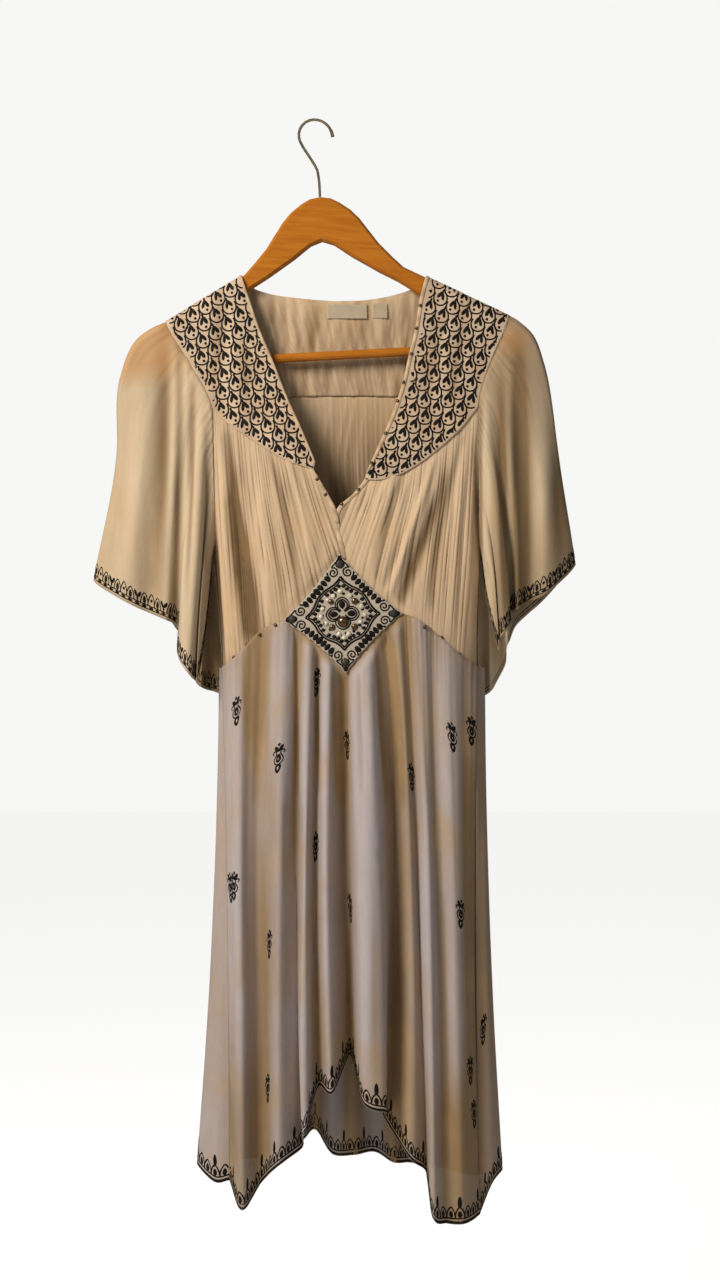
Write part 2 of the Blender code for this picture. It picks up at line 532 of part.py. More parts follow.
def back_yoke():
    """The back yoke, from armhole to armhole, with the neckline between the shoulders."""
    distances = wrap_distances()
    tops, edges = [], []
    for side in ("left", "right"):
        line = armhole_line(side, YOKE_CORNER_HEIGHT + SEAM / 2) - [(outward(side) * SEAM / 2, 0)]
        corner = at_distances(YOKE_NECK[side], [0])[0]
        shoulder = line[0] + np.linspace(0, 1, BACK_SHOULDER_COLUMNS + 1)[:, None] * (corner - line[0])
        neck = BACK_NECK[side]
        over = at_distances(neck, distances)[1:]
        share = share_at(neck, over[-1])
        rest = along(neck, share + (1 - share) * np.linspace(0, 1, BACK_NECK_COLUMNS + 1)[1:])
        tops.append(np.concatenate([shoulder, over, rest]))
        edges.append(line)
    top = np.concatenate([tops[0], tops[1][-2::-1]])
    u = np.linspace(0, 1, len(top))
    spread = (top[:, 0] - top[0, 0]) / (top[-1, 0] - top[0, 0])
    ends = edges[0][-1, 0], edges[1][-1, 0]
    bottom_x = ends[0] + (spread + u) / 2 * (ends[1] - ends[0])
    bottom = np.stack([bottom_x, back_yoke_seam(bottom_x) + SEAM / 2], axis=1)
    drop = below_shoulder(*bottom.T) - below_shoulder(*top.T)
    wrap = distances[:, None] / drop[None, :]
    low = wrap[-1] + (1 - wrap[-1]) * np.linspace(0, 1, YOKE_UPPER_ROWS + 1)[1:, None]
    shares = np.concatenate([wrap, low])[..., None]
    plan = top[None] * (1 - shares) + bottom[None] * shares
    for end, line, weight in ((0, edges[0], (1 - u) ** 4), (-1, edges[1], u ** 4)):
        true_x = np.interp(-plan[:, end, 1], -line[:, 1], line[:, 0])
        plan[..., 0] += (true_x - plan[:, end, 0])[:, None] * weight[None, :]
    backward = depth(plan[..., 0], plan[..., 1], BACK)
    backward[0, : BACK_SHOULDER_COLUMNS + 1] = SEAM / 2
    backward[0, -BACK_SHOULDER_COLUMNS - 1 :] = SEAM / 2
    wall("back_yoke", stand(plan, backward, 1), CLOTH, YOKE_COTTON)


def back_bodice():
    """The back below its yoke, gathered, down to the waist seam."""
    u = np.linspace(0, 1, BACK_GATHERS * STEPS_A_PLEAT + 1)
    shares = np.array(BACK_ROWS)[:, None]
    ends = [armhole_edge(side, np.array([YOKE_CORNER_HEIGHT]))[0, 0] for side in ("left", "right")]
    seam = back_yoke_seam(ends[0] + u * (ends[1] - ends[0])) - SEAM / 2
    height = seam + (BACK_WAIST_HEIGHT + SEAM / 2 - seam) * shares
    left = body_column(height[:, 0], LEFT)[:, None] + SEAM / 2
    right = body_column(height[:, -1], RIGHT)[:, None] - SEAM / 2
    plan = np.stack([left + (right - left) * u, height], axis=2)
    fade = swell(shares, BACK_FADE)
    gathers = BACK_GATHER_DEPTH * (0.5 - 0.5 * np.cos(2 * math.pi * BACK_GATHERS * u)) * fade
    wall("back_bodice", stand(plan, depth(plan[..., 0], height, BACK) + gathers, 1), CLOTH, BODICE_COTTON)


def three_heights(top, middle, low, share):
    """Values that run through one at the waist, one at the middle and one at the hem."""
    mid = SKIRT_MID_SHARE
    from_top = (share - mid) * (share - 1) / mid
    from_middle = share * (share - 1) / (mid * (mid - 1))
    from_hem = share * (share - mid) / (1 - mid)
    return top * from_top + middle * from_middle + low * from_hem


def skirt_waist():
    """The whole empire seam from left to right, as a smooth line."""
    return np.array(WAIST["left"] + WAIST["right"][::-1], float)


def skirt_front_grid():
    """Rows from the waist to the hem, columns through the ridges and valleys."""
    folds = np.array(SKIRT_FRONT)
    u = np.linspace(0, len(folds) - 1, (len(folds) - 1) * SKIRT_FRONT_STEPS + 1)
    folds = flow(np.arange(len(folds)), folds, u)
    seam = skirt_waist()
    top = np.stack([folds[:, 0], flow(seam[:, 0], seam[:, 1], folds[:, 0])], axis=1)
    top = lowered(top, WAIST_SEAM / 2)[:, 1]
    share = np.array(SKIRT_ROWS)[:, None]
    height = top + (folds[:, 6] - top) * share
    x = three_heights(folds[:, 0], folds[:, 1], folds[:, 2], share)
    forward = three_heights(folds[:, 3], folds[:, 4], folds[:, 5], share)
    plan = np.stack([x, height], axis=2)
    return stand(plan, depth(x, height, FRONT) + forward * calm(plan), -1)


def skirt_back_grid(front):
    """Rows from the waist to the hem, columns from the front's left edge round to its right edge."""
    folds = np.array(SKIRT_BACK)
    share = np.array(SKIRT_ROWS)[:, None]
    height = BACK_WAIST_HEIGHT - SEAM / 2 + (folds[:, 6] - BACK_WAIST_HEIGHT) * share
    x = three_heights(folds[:, 0], folds[:, 2], folds[:, 4], share)
    y = three_heights(folds[:, 1], folds[:, 3], folds[:, 5], share)
    knots = np.stack([x, y, height], axis=2)
    edges = []
    for edge, next_in in ((front[:, 0], front[:, 1]), (front[:, -1], front[:, -2])):
        away = edge - next_in
        away[:, 2] = 0
        away /= np.linalg.norm(away, axis=1, keepdims=True)
        edges.append(edge + away * SEAM)
    knots = np.concatenate([edges[0][:, None], knots, edges[1][:, None]], axis=1)
    u = np.linspace(0, knots.shape[1] - 1, (knots.shape[1] - 1) * SKIRT_BACK_STEPS + 1)
    return flow(np.arange(knots.shape[1]), knots.transpose(1, 0, 2), u).transpose(1, 0, 2)


def skirt():
    front = skirt_front_grid()
    wall("skirt_front", front, CLOTH, SKIRT_COTTON)
    wall("skirt_back", skirt_back_grid(front), CLOTH, SKIRT_COTTON)


def sleeve_strand(side, row, start, towards):
    """One strand of a sleeve: its start on the armhole, its bow over the arm and its stations."""
    spread = (1, 1, 1) if side == "left" else RIGHT_SPREAD
    lift = 0 if side == "left" else RIGHT_LIFT
    zero = SLEEVE_SIDE[0] if side == "left" else SLEEVE_SIDE[1]
    drop = SLEEVE_BACK_DROP if towards > 0 else 0
    stations = []
    for k in range(3):
        out, forward, height = row[1 + 3 * k : 4 + 3 * k]
        if k < 2:
            height = height + lift * out
        elif side == "right":
            height = row[10]
        if k == 2 and forward > 4 and out < SLEEVE_BACK_REACH:
            height = height - drop
        stations.append((zero + outward(side) * out * spread[k], towards * forward, height))
    first = np.array(stations[0])
    middle = (start + first) / 2
    run = first - start
    square = np.array([-run[2], 0, run[0]]) / max(math.hypot(run[0], run[2]), 1e-6)
    if square[0] * outward(side) < 0:
        square = -square
    middle = middle + square * row[11] * (1 if side == "left" else RIGHT_BOW)
    return np.array([start, middle, *stations])


def sleeve_start(side, height):
    """Place on the armhole where a strand starts, in the plan."""
    share = (height - SHOULDER_HEIGHT) / (UNDERARM_HEIGHT - SHOULDER_HEIGHT)
    away = SLEEVE_SEAM[0] + (SLEEVE_SEAM[1] - SLEEVE_SEAM[0]) * min(max(share, 0), 1)
    return armhole_edge(side, np.array([height]))[0] + [outward(side) * away, 0]


def sleeve(side):
    """A flutter sleeve: strands that hang from the armhole, in front, over the arm and behind."""
    line = armhole_line(side, UNDERARM_HEIGHT)
    strands = []
    for towards in (-1, 1):
        column = FRONT if towards < 0 else BACK
        half = []
        for row in SLEEVE:
            x, z = sleeve_start(side, row[0])
            start = np.array([x, towards * float(depth(x, z, column)), z])
            half.append(sleeve_strand(side, row, start, towards))
        for row in SLEEVE_TOP[: 3 if towards < 0 else 2]:
            turn = math.radians(row[0])
            on_line = at_distances(line, [WRAP_RADIUS * (1 - math.cos(turn))])[0]
            x, z = on_line + [outward(side) * SLEEVE_SEAM[0], SLEEVE_SEAM[0] * ARM_SLOPE]
            away = 0.0 if row[0] == 0 else towards * float(depth(*on_line, column))
            half.append(sleeve_strand(side, row, np.array([x, away, z]), towards))
        strands += half if towards < 0 else half[::-1]
    strands = np.array(strands)
    rows = flow(SLEEVE_STATIONS, strands.transpose(1, 0, 2), SLEEVE_ROWS)
    u = np.linspace(0, len(strands) - 1, (len(strands) - 1) * SLEEVE_STEPS + 1)
    grid = flow(np.arange(len(strands)), rows.transpose(1, 0, 2), u).transpose(1, 0, 2)
    wall("sleeve_" + side, grid, CLOTH, SLEEVE_COTTON)


def medallion():
    """The diamond applique on the panels' own form, moved out, with its large bead."""
    a, b = np.meshgrid(np.linspace(-1, 1, MEDALLION_STEPS + 1), np.linspace(1, -1, MEDALLION_STEPS + 1))
    across, up = (a - b) / 2, (a + b) / 2
    draw = 1 - MEDALLION_HOLLOW * (1 - (np.abs(across) - np.abs(up)) ** 2)
    across, up = across * draw * MEDALLION_HALF[0], up * draw * MEDALLION_HALF[1]
    x = MEDALLION_CENTRE[0] + across * math.cos(MEDALLION_TILT) - up * math.sin(MEDALLION_TILT)
    z = MEDALLION_CENTRE[1] + across * math.sin(MEDALLION_TILT) + up * math.cos(MEDALLION_TILT)
    stand_off = CLOTH / 2 + MEDALLION_STAND + MEDALLION_THICKNESS / 2
    forward = depth(x, z, FRONT) + stand_off
    wall("waist_medallion", stand(np.stack([x, z], axis=2), forward, -1), MEDALLION_THICKNESS, BLACK_WORK)

    turns = 2 * math.pi * np.arange(12) / 12
    foot = MEDALLION_CENTRE[0], MEDALLION_CENTRE[1] - BEAD_DROP
    seat = float(depth(*foot, FRONT)) + stand_off + MEDALLION_THICKNESS / 2 + SEAM / 2
    layers = []
    for share, width in ((0, 0.92), (0.25, 1.0), (0.6, 0.82), (0.88, 0.45), (1, 0.12)):
        ring = [(foot[0] + BEAD_RADIUS * width * math.cos(t), -(seat + BEAD_RISE * share),
                 foot[1] + BEAD_RADIUS * width * math.sin(t)) for t in turns]
        layers.append(np.array(ring))
    rings("medallion_bead", layers, BRONZE, 0.2)


def label(name, sizes):
    """A blank woven label on the inside of the back yoke."""
    left, right, top, bottom = sizes
    x, z = np.meshgrid(np.linspace(left, right, 6), np.linspace(top, bottom, 3))
    inside = depth(x, z, BACK) - CLOTH / 2 - LABEL_STAND - LABEL_THICKNESS / 2
    wall(name, stand(np.stack([x, z], axis=2), inside, 1), LABEL_THICKNESS, LABEL_SATIN)


def build():
    for piece in list(bpy.data.objects):
        bpy.data.objects.remove(piece, do_unlink=True)
    hanger_wood()
    hanger_bar()
    hanger_hook()
    for side in ("left", "right"):
        front_yoke(side)
        front_bodice(side)
        sleeve(side)
    back_yoke()
    back_bodice()
    skirt()
    medallion()
    label("neck_label", NECK_LABEL)
    label("size_tag", SIZE_TAG)


build()
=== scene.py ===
# %% [markdown]
# # A peasant dress on a wooden hanger
#
# The dress is sewn from very thin cotton: embroidered yokes, pleated fronts, flutter sleeves and a
# gathered skirt with an uneven hem. Each panel here is one curved grid of points, laid over the
# solids that are loaded first, with finer folds than the solids have.

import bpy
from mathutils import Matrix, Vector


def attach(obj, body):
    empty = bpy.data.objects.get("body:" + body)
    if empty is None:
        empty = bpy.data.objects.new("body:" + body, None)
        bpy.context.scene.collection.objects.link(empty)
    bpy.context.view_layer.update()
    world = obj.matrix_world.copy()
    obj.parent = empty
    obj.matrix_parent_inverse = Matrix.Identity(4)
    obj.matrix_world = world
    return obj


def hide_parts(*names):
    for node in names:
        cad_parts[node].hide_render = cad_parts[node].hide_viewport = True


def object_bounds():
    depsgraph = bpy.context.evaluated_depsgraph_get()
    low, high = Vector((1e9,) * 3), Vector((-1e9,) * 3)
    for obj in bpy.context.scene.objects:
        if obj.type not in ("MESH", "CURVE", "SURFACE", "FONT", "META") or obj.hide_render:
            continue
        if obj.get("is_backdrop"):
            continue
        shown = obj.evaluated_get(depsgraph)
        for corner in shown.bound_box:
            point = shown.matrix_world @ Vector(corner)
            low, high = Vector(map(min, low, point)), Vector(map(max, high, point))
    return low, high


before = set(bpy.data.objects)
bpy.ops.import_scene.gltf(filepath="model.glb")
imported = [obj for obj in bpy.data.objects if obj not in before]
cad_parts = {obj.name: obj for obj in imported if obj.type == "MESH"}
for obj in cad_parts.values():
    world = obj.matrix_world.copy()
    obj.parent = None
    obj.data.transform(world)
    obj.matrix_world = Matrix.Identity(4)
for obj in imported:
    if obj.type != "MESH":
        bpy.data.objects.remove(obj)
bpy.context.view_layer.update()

import math

import bpy
import numpy as np
from mathutils import Vector
from mathutils.bvhtree import BVHTree

print("nodes:", ", ".join(sorted(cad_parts)))

# %% [markdown]
# ## Sizes
#
# Everything below is in millimetres, and turned into metres when a mesh is made. The tables are the
# same as those of the solids: the body as a flattened tube, the edges of the panels, the folds of
# the skirt and the strands of the sleeves. Left is -X, as seen from the front.

# %% The body and its seams
MM = 0.001
SIDES = ("left", "right")
SEAM = -1.2  # below 0: the panels lie over each other at a seam, so that no gap shows
SLEEVE_SEAM = WAIST_SEAM = -1.0
TILT = math.radians(3.0)  # of the hanger
ARM_START, ARM_END = 84.0, 176.0
ARM_START_HEIGHT, ARM_END_HEIGHT = -158.0, -207.4
ARM_SLOPE = (ARM_END_HEIGHT - ARM_START_HEIGHT) / (ARM_END - ARM_START)
# the cloth lies over the arm in a half round, just clear of the wood
WRAP_RADIUS = 8.0
SHOULDER_LIFT = 1.0
# height, left edge, right edge, extra half width of the round, depth in front, depth behind
BODY = [
    (-150, -160, 205, 65, 9, 9), (-213, -157, 201, 60, 11, 11), (-252, -134, 184, 55, 13, 12.5),
    (-300, -109.5, 170.5, 38, 16.5, 16), (-312, -108.4, 170.7, 32.5, 17.8, 17.2),
    (-347, -108, 171, 15, 22, 21), (-399, -107, 172, 5, 27, 25), (-446, -107, 172, 0, 30, 28),
    (-575, -98.5, 170, 0, 34, 32), (-640, -102, 178, 0, 37, 35), (-800, -108, 181, 0, 41, 38),
    (-1030, -119, 190, 0, 45, 42), (-1160, -128, 197, 0, 47, 44),
]
LEFT, RIGHT, ROUND, FRONT, BACK = 1, 2, 3, 4, 5
ROUND_POWER = 3.0
UNDERARM_HEIGHT = -446.0
ARMHOLE_SEARCH = -190.0  # the armhole meets the shoulder line below this height

# %% Edges of the yokes and the bodice
# each edge as x, height
YOKE_CORNER_HEIGHT = -301.0
YOKE_NECK = {
    "left": [(-78.8, -160.5), (-69, -190), (-58, -222), (-44, -255), (-30, -291), (-15, -324), (0, -360)],
    "right": [
        (116, -160.5), (109, -187), (104, -219), (97, -248), (91, -275), (81, -306), (67, -339),
        (53.5, -369),
    ],
}
YOKE_LOWER = {
    "left": [
        (-109, -301), (-94, -317), (-74, -332), (-55, -344), (-41, -352.5), (-23, -361), (-2, -367.5),
    ],
    "right": [(170.5, -301), (156, -320), (133, -342), (112, -359), (92, -371), (71, -378), (51, -378.5)],
}
YOKE_CORNER_SHARE = 0.5  # the neck edge's share that lies above the corner
# inner edge of each bodice front: share of the way down, x, height
BODICE_INNER = {
    "left": [(0, -2, -367.5), (0.14, 10.5, -389), (0.28, 21.2, -409), (0.6, 25.8, -458), (1, 30, -521)],
    "right": [(0, 51, -378.5), (0.14, 39, -393), (0.28, 22, -409), (0.6, 26.6, -458), (1, 30.8, -521)],
}
# empire seam from each side to the middle, under the medallion
WAIST = {
    "left": [
        (-98.5, -575), (-86, -566), (-72, -551), (-59, -537), (-42, -529), (-30, -524), (0, -521.5),
        (30, -521),
    ],
    "right": [(170, -575), (150, -561), (130, -543), (112, -528), (90, -518), (60, -519.5), (30.8, -521)],
}
BACK_YOKE_HEIGHT = -287.0  # in the middle; its seam drops to the corners of the front yokes
BACK_WAIST_HEIGHT = -575.0
# halves of the back neckline, each from the shoulder to the middle
BACK_NECK = {
    "left": [(-79.3, -160.5), (-72.5, -169), (-65, -175), (-50, -180), (-17, -185), (18.5, -188)],
    "right": [(116.5, -160.5), (110, -168.5), (102, -174.5), (84, -181), (55, -186.5), (18.5, -188)],
}

# %% Folds of the skirt
# Front, a row for each ridge or valley from the left seam to the right seam:
# x at the waist, at mid height and at the hem, how far it stands forward at each, height of the hem
SKIRT_FRONT = [
    (-98, -92, -89, 0, -3, -6, -1106), (-80, -78, -75, 2.5, 8, 12, -1131),
    (-56, -59, -57, -2, -7, -9, -1109), (-33, -37, -37, 2.5, 9, 12, -1084),
    (-17, -20, -13, -2.5, -9, -11, -1070), (-5, -10, -11, 2.5, 8, 12, -1051),
    (5, 0, 3, -2.5, -6, -4, -1007), (17, 12, 18, 3, 9, 12, -1010),
    (29, 30, 36, -3.5, -13, -19, -976), (42, 45, 50, 3, 11, 14, -1019),
    (56, 65, 72, 3, 11, 14, -1029), (69, 81, 70, -3.5, -15, -17, -1038),
    (82, 96, 98, 2.5, 4, 7, -1078), (94, 105, 115, -2, -4, -6, -1098),
    (108, 116, 121.5, 2, 8, 12, -1139), (122, 127, 136, -1, 1, 2, -1147),
    (138, 143, 151, 2, 8, 11, -1146), (155, 157, 162, 0, 3, 4, -1145),
    (169, 167, 171, 0, -3, -6, -1142),
]
SKIRT_MID_SHARE = 0.42
# Back, from the left seam round behind to the right seam:
# x and y at the waist, at mid height and at the hem, height of the hem
SKIRT_BACK = [
    (-99.8, 1, -103, -10, -105, -25, -1109), (-100, 5, -106.5, 1, -124, -6, -1095),
    (-96, 13, -101, 17, -117, 20, -1098), (-84, 21, -88, 31, -94, 46, -1104),
    (-67, 20, -70, 22, -70, 28, -1096), (-50, 29, -52, 39, -50, 55, -1100),
    (-34, 24, -34, 28, -30, 32, -1090), (-16, 33, -16, 44, -14, 58, -1082),
    (1, 27, 1, 31, -1, 35, -1067), (18, 35, 19, 46, 16, 60, -1098), (36, 28, 38, 31, 40, 35, -1094),
    (54, 35, 56, 46, 62, 60, -1096), (72, 27, 74, 31, 82, 35, -1102),
    (90, 33, 92, 44, 100, 58, -1107), (107, 24, 110, 28, 118, 33, -1106),
    (124, 28, 128, 39, 138, 52, -1112), (141, 19, 145, 22, 156, 27, -1112),
    (156, 20, 164, 28, 176, 38, -1116), (168, 13, 177, 14, 191, 14, -1106),
    (175.5, 6, 181, 2, 195, -5, -1101), (174.5, 1, 178, -11, 184, -21, -1111),
]

# %% Strands of the sleeves
# A row for each strand of cloth from the underarm up to the shoulder: height where it starts, then
# out from the side, forward and height at three stations, over the arm, at mid length and at the
# hem; then the hem's height on the right sleeve and the bow over the arm
SLEEVE = [
    (-443, 1.6, 3.5, -449, 1.6, 3.5, -462, 0.5, 3.5, -490, -490, 0),
    (-432, 1.8, 8.5, -452, 0.5, 11, -488, -4, 12.5, -550, -552, 0),
    (-416, 2.5, 13, -440, 0, 19, -500, -8, 23, -593, -597, 0),
    (-398, 5.5, 16, -425, 5.5, 25, -500, 4.5, 31, -594, -600, 0),
    (-370, 7, 13, -400, 12, 15, -480, 16, 16, -589, -594, 0),
    (-345, 9.5, 16, -372, 17, 28, -460, 24, 36, -581, -586, 0),
    (-320, 12.5, 17, -350, 26, 27, -441, 36, 32, -560, -566, 0),
    (-301, 16, 15, -330, 29.5, 17.5, -430, 36, 15, -536, -550, 0),
    (-286, 21.5, 13.5, -314, 35, 16.5, -417, 41, 16, -528, -540, 0),
    (-270, 29, 14, -302, 44, 21, -400, 49, 26, -524, -531, 0),
    (-252, 47, 12, -288, 61, 15, -385, 66, 17, -517, -517, 0),
    (-238, 65, 11, -279, 78, 17, -372, 86, 21, -508, -503, 2),
]
# the same for the strands over the arm, with the turn of the half round in place of a height
SLEEVE_TOP = [
    (90, 90.5, 8.6, -271, 97, 9, -354, 111, 11, -494, -480, 9.4),
    (45, 95.5, 6.1, -268.5, 101, 5.5, -352, 122, 5, -487, -471, 10.8),
    (0, 97.5, 0, -268, 102, 0, -352, 126.5, 0, -482, -466, 11),
]
SLEEVE_SIDE = {"left": -107.0, "right": 172.0}  # where "out" is measured from
SLEEVE_BACK_DROP, SLEEVE_BACK_REACH = 5.0, 45.0  # the back layer hangs lower, out to this reach
SLEEVE_STATIONS = (0, 0.13, 0.26, 0.54, 1)
# how far each sleeve stands out at its stations, how much it is lifted and its bow, as shares
SLEEVE_SPREAD = {"left": (1, 1, 1), "right": (0.685, 0.795, 0.795)}
SLEEVE_LIFT = {"left": 0, "right": 0.13}
SLEEVE_BOW = {"left": 1, "right": 0.72}

# %% [markdown]
# ## The forms of the cloth
#
# `flow` runs smoothly through a table. The other helpers give the edges of the panels, and how far
# the cloth stands from the middle plane at any place of the front or the back.

# %% Smooth lines
def flow(knots, values, at):
    """Values that run smoothly through the knots, read at other places."""
    knots, values, at = (np.asarray(v, float) for v in (knots, values, at))
    if knots[0] > knots[-1]:
        knots, values = knots[::-1], values[::-1]
    at = np.clip(at, knots[0], knots[-1])
    slopes = np.gradient(values, knots, axis=0)
    i = np.clip(np.searchsorted(knots, at, side="right") - 1, 0, len(knots) - 2)
    span = knots[i + 1] - knots[i]
    t = (at - knots[i]) / span
    if values.ndim > 1:
        extra = (1,) * (values.ndim - 1)
        span, t = span.reshape(span.shape + extra), t.reshape(t.shape + extra)
    rise = t * t * (3 - 2 * t)
    leans = slopes[i] * t * (1 - t) ** 2 * span + slopes[i + 1] * t * t * (t - 1) * span
    return values[i] * (1 - rise) + values[i + 1] * rise + leans


def flow_between(values, steps):
    """Smooth values through rows that are evenly spaced, with this many steps from one to the next."""
    count = len(values)
    return flow(np.arange(count), values, np.linspace(0, count - 1, (count - 1) * steps + 1))


def lengths_along(points):
    """How far along a line of points each of them lies."""
    return np.concatenate([[0], np.cumsum(np.linalg.norm(np.diff(points, axis=0), axis=1))])


def along(points, shares):
    """Points at the given shares of a smooth line's length."""
    points = np.asarray(points, float)
    lengths = lengths_along(points)
    return flow(lengths / lengths[-1], points, shares)


def lowered(edge, distance):
    """An edge in the plan moved down, by a distance that is measured square to it."""
    slope = np.gradient(edge[:, 1], edge[:, 0])
    return edge - np.stack([0 * slope, distance * np.hypot(1, slope)], axis=1)


CLOSE = np.linspace(0, 1, 400)  # shares of a line that is read closely


def share_at(line, place):
    """The share of a smooth line's length at which it reaches a place's height."""
    return float(np.interp(-place[1], -along(line, CLOSE)[:, 1], CLOSE))


# %% The body's surface
def body_column(height, column):
    """One column of the body's table at any height."""
    table = np.array(BODY)
    return flow(table[:, 0], table[:, column], height)


def below_shoulder(x, height):
    """How far a place lies below the line of the cloth's shoulder, square to that line."""
    across = x * math.cos(TILT) + height * math.sin(TILT)
    up = -x * math.sin(TILT) + height * math.cos(TILT)
    line = ARM_START_HEIGHT + SHOULDER_LIFT + (np.abs(across) - ARM_START) * ARM_SLOPE
    return (line - up) / math.hypot(1, ARM_SLOPE)


def depth(x, height, column):
    """How far the body's cloth stands from the middle plane, in FRONT or at the BACK."""
    left, right = body_column(height, LEFT), body_column(height, RIGHT)
    half = (right - left) / 2 + body_column(height, ROUND)
    across = np.clip(np.abs(x - (left + right) / 2) / half, 0, 1)
    full = body_column(height, column) * np.sqrt(1 - across ** ROUND_POWER)
    wrap = np.clip(below_shoulder(x, height) / WRAP_RADIUS, 0, 1)
    return np.maximum(full * np.sqrt(1 - (1 - wrap) ** 2), SEAM)


def wrap_distances(shares):
    """Distances below the shoulder line for these shares of the half round."""
    return WRAP_RADIUS * (1 - np.cos(np.radians(90) * shares))


def at_distances(line, distances):
    """Points of a smooth line that lie at these distances below the shoulder line."""
    x, z = along(line, CLOSE).T
    return np.stack([np.interp(distances, below_shoulder(x, z), values) for values in (x, z)], axis=1)


def outward(side):
    return -1 if side == "left" else 1


def stand(plan, forward, towards):
    """Lift a plan of x and height off the middle plane: towards is -1 in front and 1 behind."""
    return np.stack([plan[..., 0], towards * forward, plan[..., 1]], axis=2)


# %% Edges
def armhole_edge(side, heights):
    """Edge of the panels at the armhole and the side seam, at these heights."""
    x = body_column(heights, LEFT if side == "left" else RIGHT)
    return np.stack([x, heights], axis=1)


def armhole_line(side, lowest):
    """The armhole edge from the shoulder line down to a height, as a line of close points."""
    line = armhole_edge(side, np.linspace(ARMHOLE_SEARCH, lowest, 200))
    highest = np.interp(0, below_shoulder(*line.T), line[:, 1])
    return armhole_edge(side, np.linspace(highest, lowest, 200))


def corner_x(side):
    """Where the lower corner of a yoke lies, at the armhole."""
    return armhole_edge(side, np.array([YOKE_CORNER_HEIGHT]))[0, 0]


def patch(top, bottom, first, last, shares):
    """A plan of rows and columns that fills the space between four edges."""
    v = np.asarray(shares, float)[:, None, None]
    u = np.linspace(0, 1, len(top))[None, :, None]
    above, below = (1 - u) * (1 - v) * top[0] + u * (1 - v) * top[-1], (1 - u) * v * bottom[0]
    ends = above + below + u * v * bottom[-1]
    return (1 - v) * top + v * bottom + (1 - u) * first[:, None] + u * last[:, None] - ends


# %% The quiet place under the medallion
CALM_CENTRE, CALM_TILT = (30.2, -518.2), math.radians(2.2)
CALM_RISE = (1.0, 1.22)  # the pleats return between these shares of the medallion's size
MEDALLION_HALF = (60.0, 61.0)


def calm(plan):
    """0 under the medallion, rising to 1 round it, so that it lies on quiet cloth."""
    x, z = plan[..., 0] - CALM_CENTRE[0], plan[..., 1] - CALM_CENTRE[1]
    across = x * math.cos(CALM_TILT) + z * math.sin(CALM_TILT)
    up = -x * math.sin(CALM_TILT) + z * math.cos(CALM_TILT)
    share = np.abs(across) / MEDALLION_HALF[0] + np.abs(up) / MEDALLION_HALF[1]
    t = np.clip((share - CALM_RISE[0]) / (CALM_RISE[1] - CALM_RISE[0]), 0, 1)
    return t * t * (3 - 2 * t)


# %% [markdown]
# ## Folds
#
# Thin cotton shows two kinds of folds. Pleats and gathers run side by side from a seam, each a little
# wider or weaker than the next. Creases are single soft ridges or troughs, each placed one by one.

# %% Pleats
def smooth_noise(seed, count, at):
    """A smooth random curve between -1 and 1, read at shares from 0 to 1."""
    values = np.random.default_rng(seed).uniform(-1, 1, count)
    return flow(np.linspace(0, 1, count), values, np.clip(at, 0, 1))


def pleats(u, v, count, seed, wander=0.01, sharpness=0.6, least=0.15):
    """Uneven rounded ridges side by side, 0 in their valleys and up to 1 on top."""
    rng = np.random.default_rng(seed)
    steps = np.concatenate([[0], np.cumsum(rng.uniform(0.4, 1.6, count))])
    u = np.clip(u + wander * smooth_noise(seed + 1, 5, v) * np.sin(math.pi * np.clip(u, 0, 1)), 0, 1)
    place = np.interp(u, steps / steps[-1], np.arange(count + 1))
    ridge = np.minimum(place.astype(int), count - 1)
    valley = 1 - np.abs(np.sin(math.pi * (place - ridge))) ** sharpness
    strengths = np.array([smooth_noise(seed + 10 + k, 6, v[:, 0]) for k in range(count + 1)])
    strengths = least + (1 - least) * np.clip(0.5 + 0.5 * strengths, 0, 1) ** 1.3
    rows = np.broadcast_to(np.arange(u.shape[0])[:, None], u.shape)
    return 1 - valley * strengths[np.round(place).astype(int), rows]


# %% Creases and wrinkles
PIXEL = 1.05  # mm in the plane of the dress
PHOTO_MIDDLE, PHOTO_CENTRE = (46.2, -545), (360, 640)  # the same place in mm and in pixels


def at_photo(px, py, near=0.984):
    """Place on the dress's front for a place in the photo, a little smaller as it lies nearer."""
    x, z = PHOTO_MIDDLE
    return x + (px - PHOTO_CENTRE[0]) * PIXEL * near, z - (py - PHOTO_CENTRE[1]) * PIXEL * near


def creases(grid, table, towards=-1):
    """Single creases: two ends in the photo's pixels, bend, half width and rise in mm, on one side."""
    x, y, z = grid[..., 0], grid[..., 1], grid[..., 2]
    total = np.zeros(x.shape)
    for px0, py0, px1, py1, bend, width, rise in table:
        (x0, z0), (x1, z1) = at_photo(px0, py0), at_photo(px1, py1)
        length = math.hypot(x1 - x0, z1 - z0)
        dx, dz = (x1 - x0) / length, (z1 - z0) / length
        run = (x - x0) * dx + (z - z0) * dz
        aside = (x - x0) * -dz + (z - z0) * dx
        t = np.clip(run / length, 0, 1)
        off = aside - bend * 4 * t * (1 - t)
        over = np.abs(run - t * length)
        bump = rise * np.exp(-((off / width) ** 2) - (over / (2 * width)) ** 2)
        total += bump * np.sin(math.pi * (0.12 + 0.76 * t))
    return total * (np.sign(y + 1e-6) == towards)


def crumple(grid, size, seed, stretch=3.0):
    """Soft small wrinkles that are longer than they are wide, as heights between -1 and 1."""
    rng = np.random.default_rng(seed)
    x, z = grid[..., 0] / size, grid[..., 2] / (size * stretch)
    total, waves = np.zeros(x.shape), 9
    for k in range(waves):
        turn, phase = rng.uniform(-0.6, 0.6), rng.uniform(0, 2 * math.pi)
        scale = rng.uniform(0.6, 1.7)
        run = x * math.cos(turn) + z * math.sin(turn) * 3
        total += np.sin(scale * run + phase + 1.3 * np.sin(z * scale + k))
    return total / waves


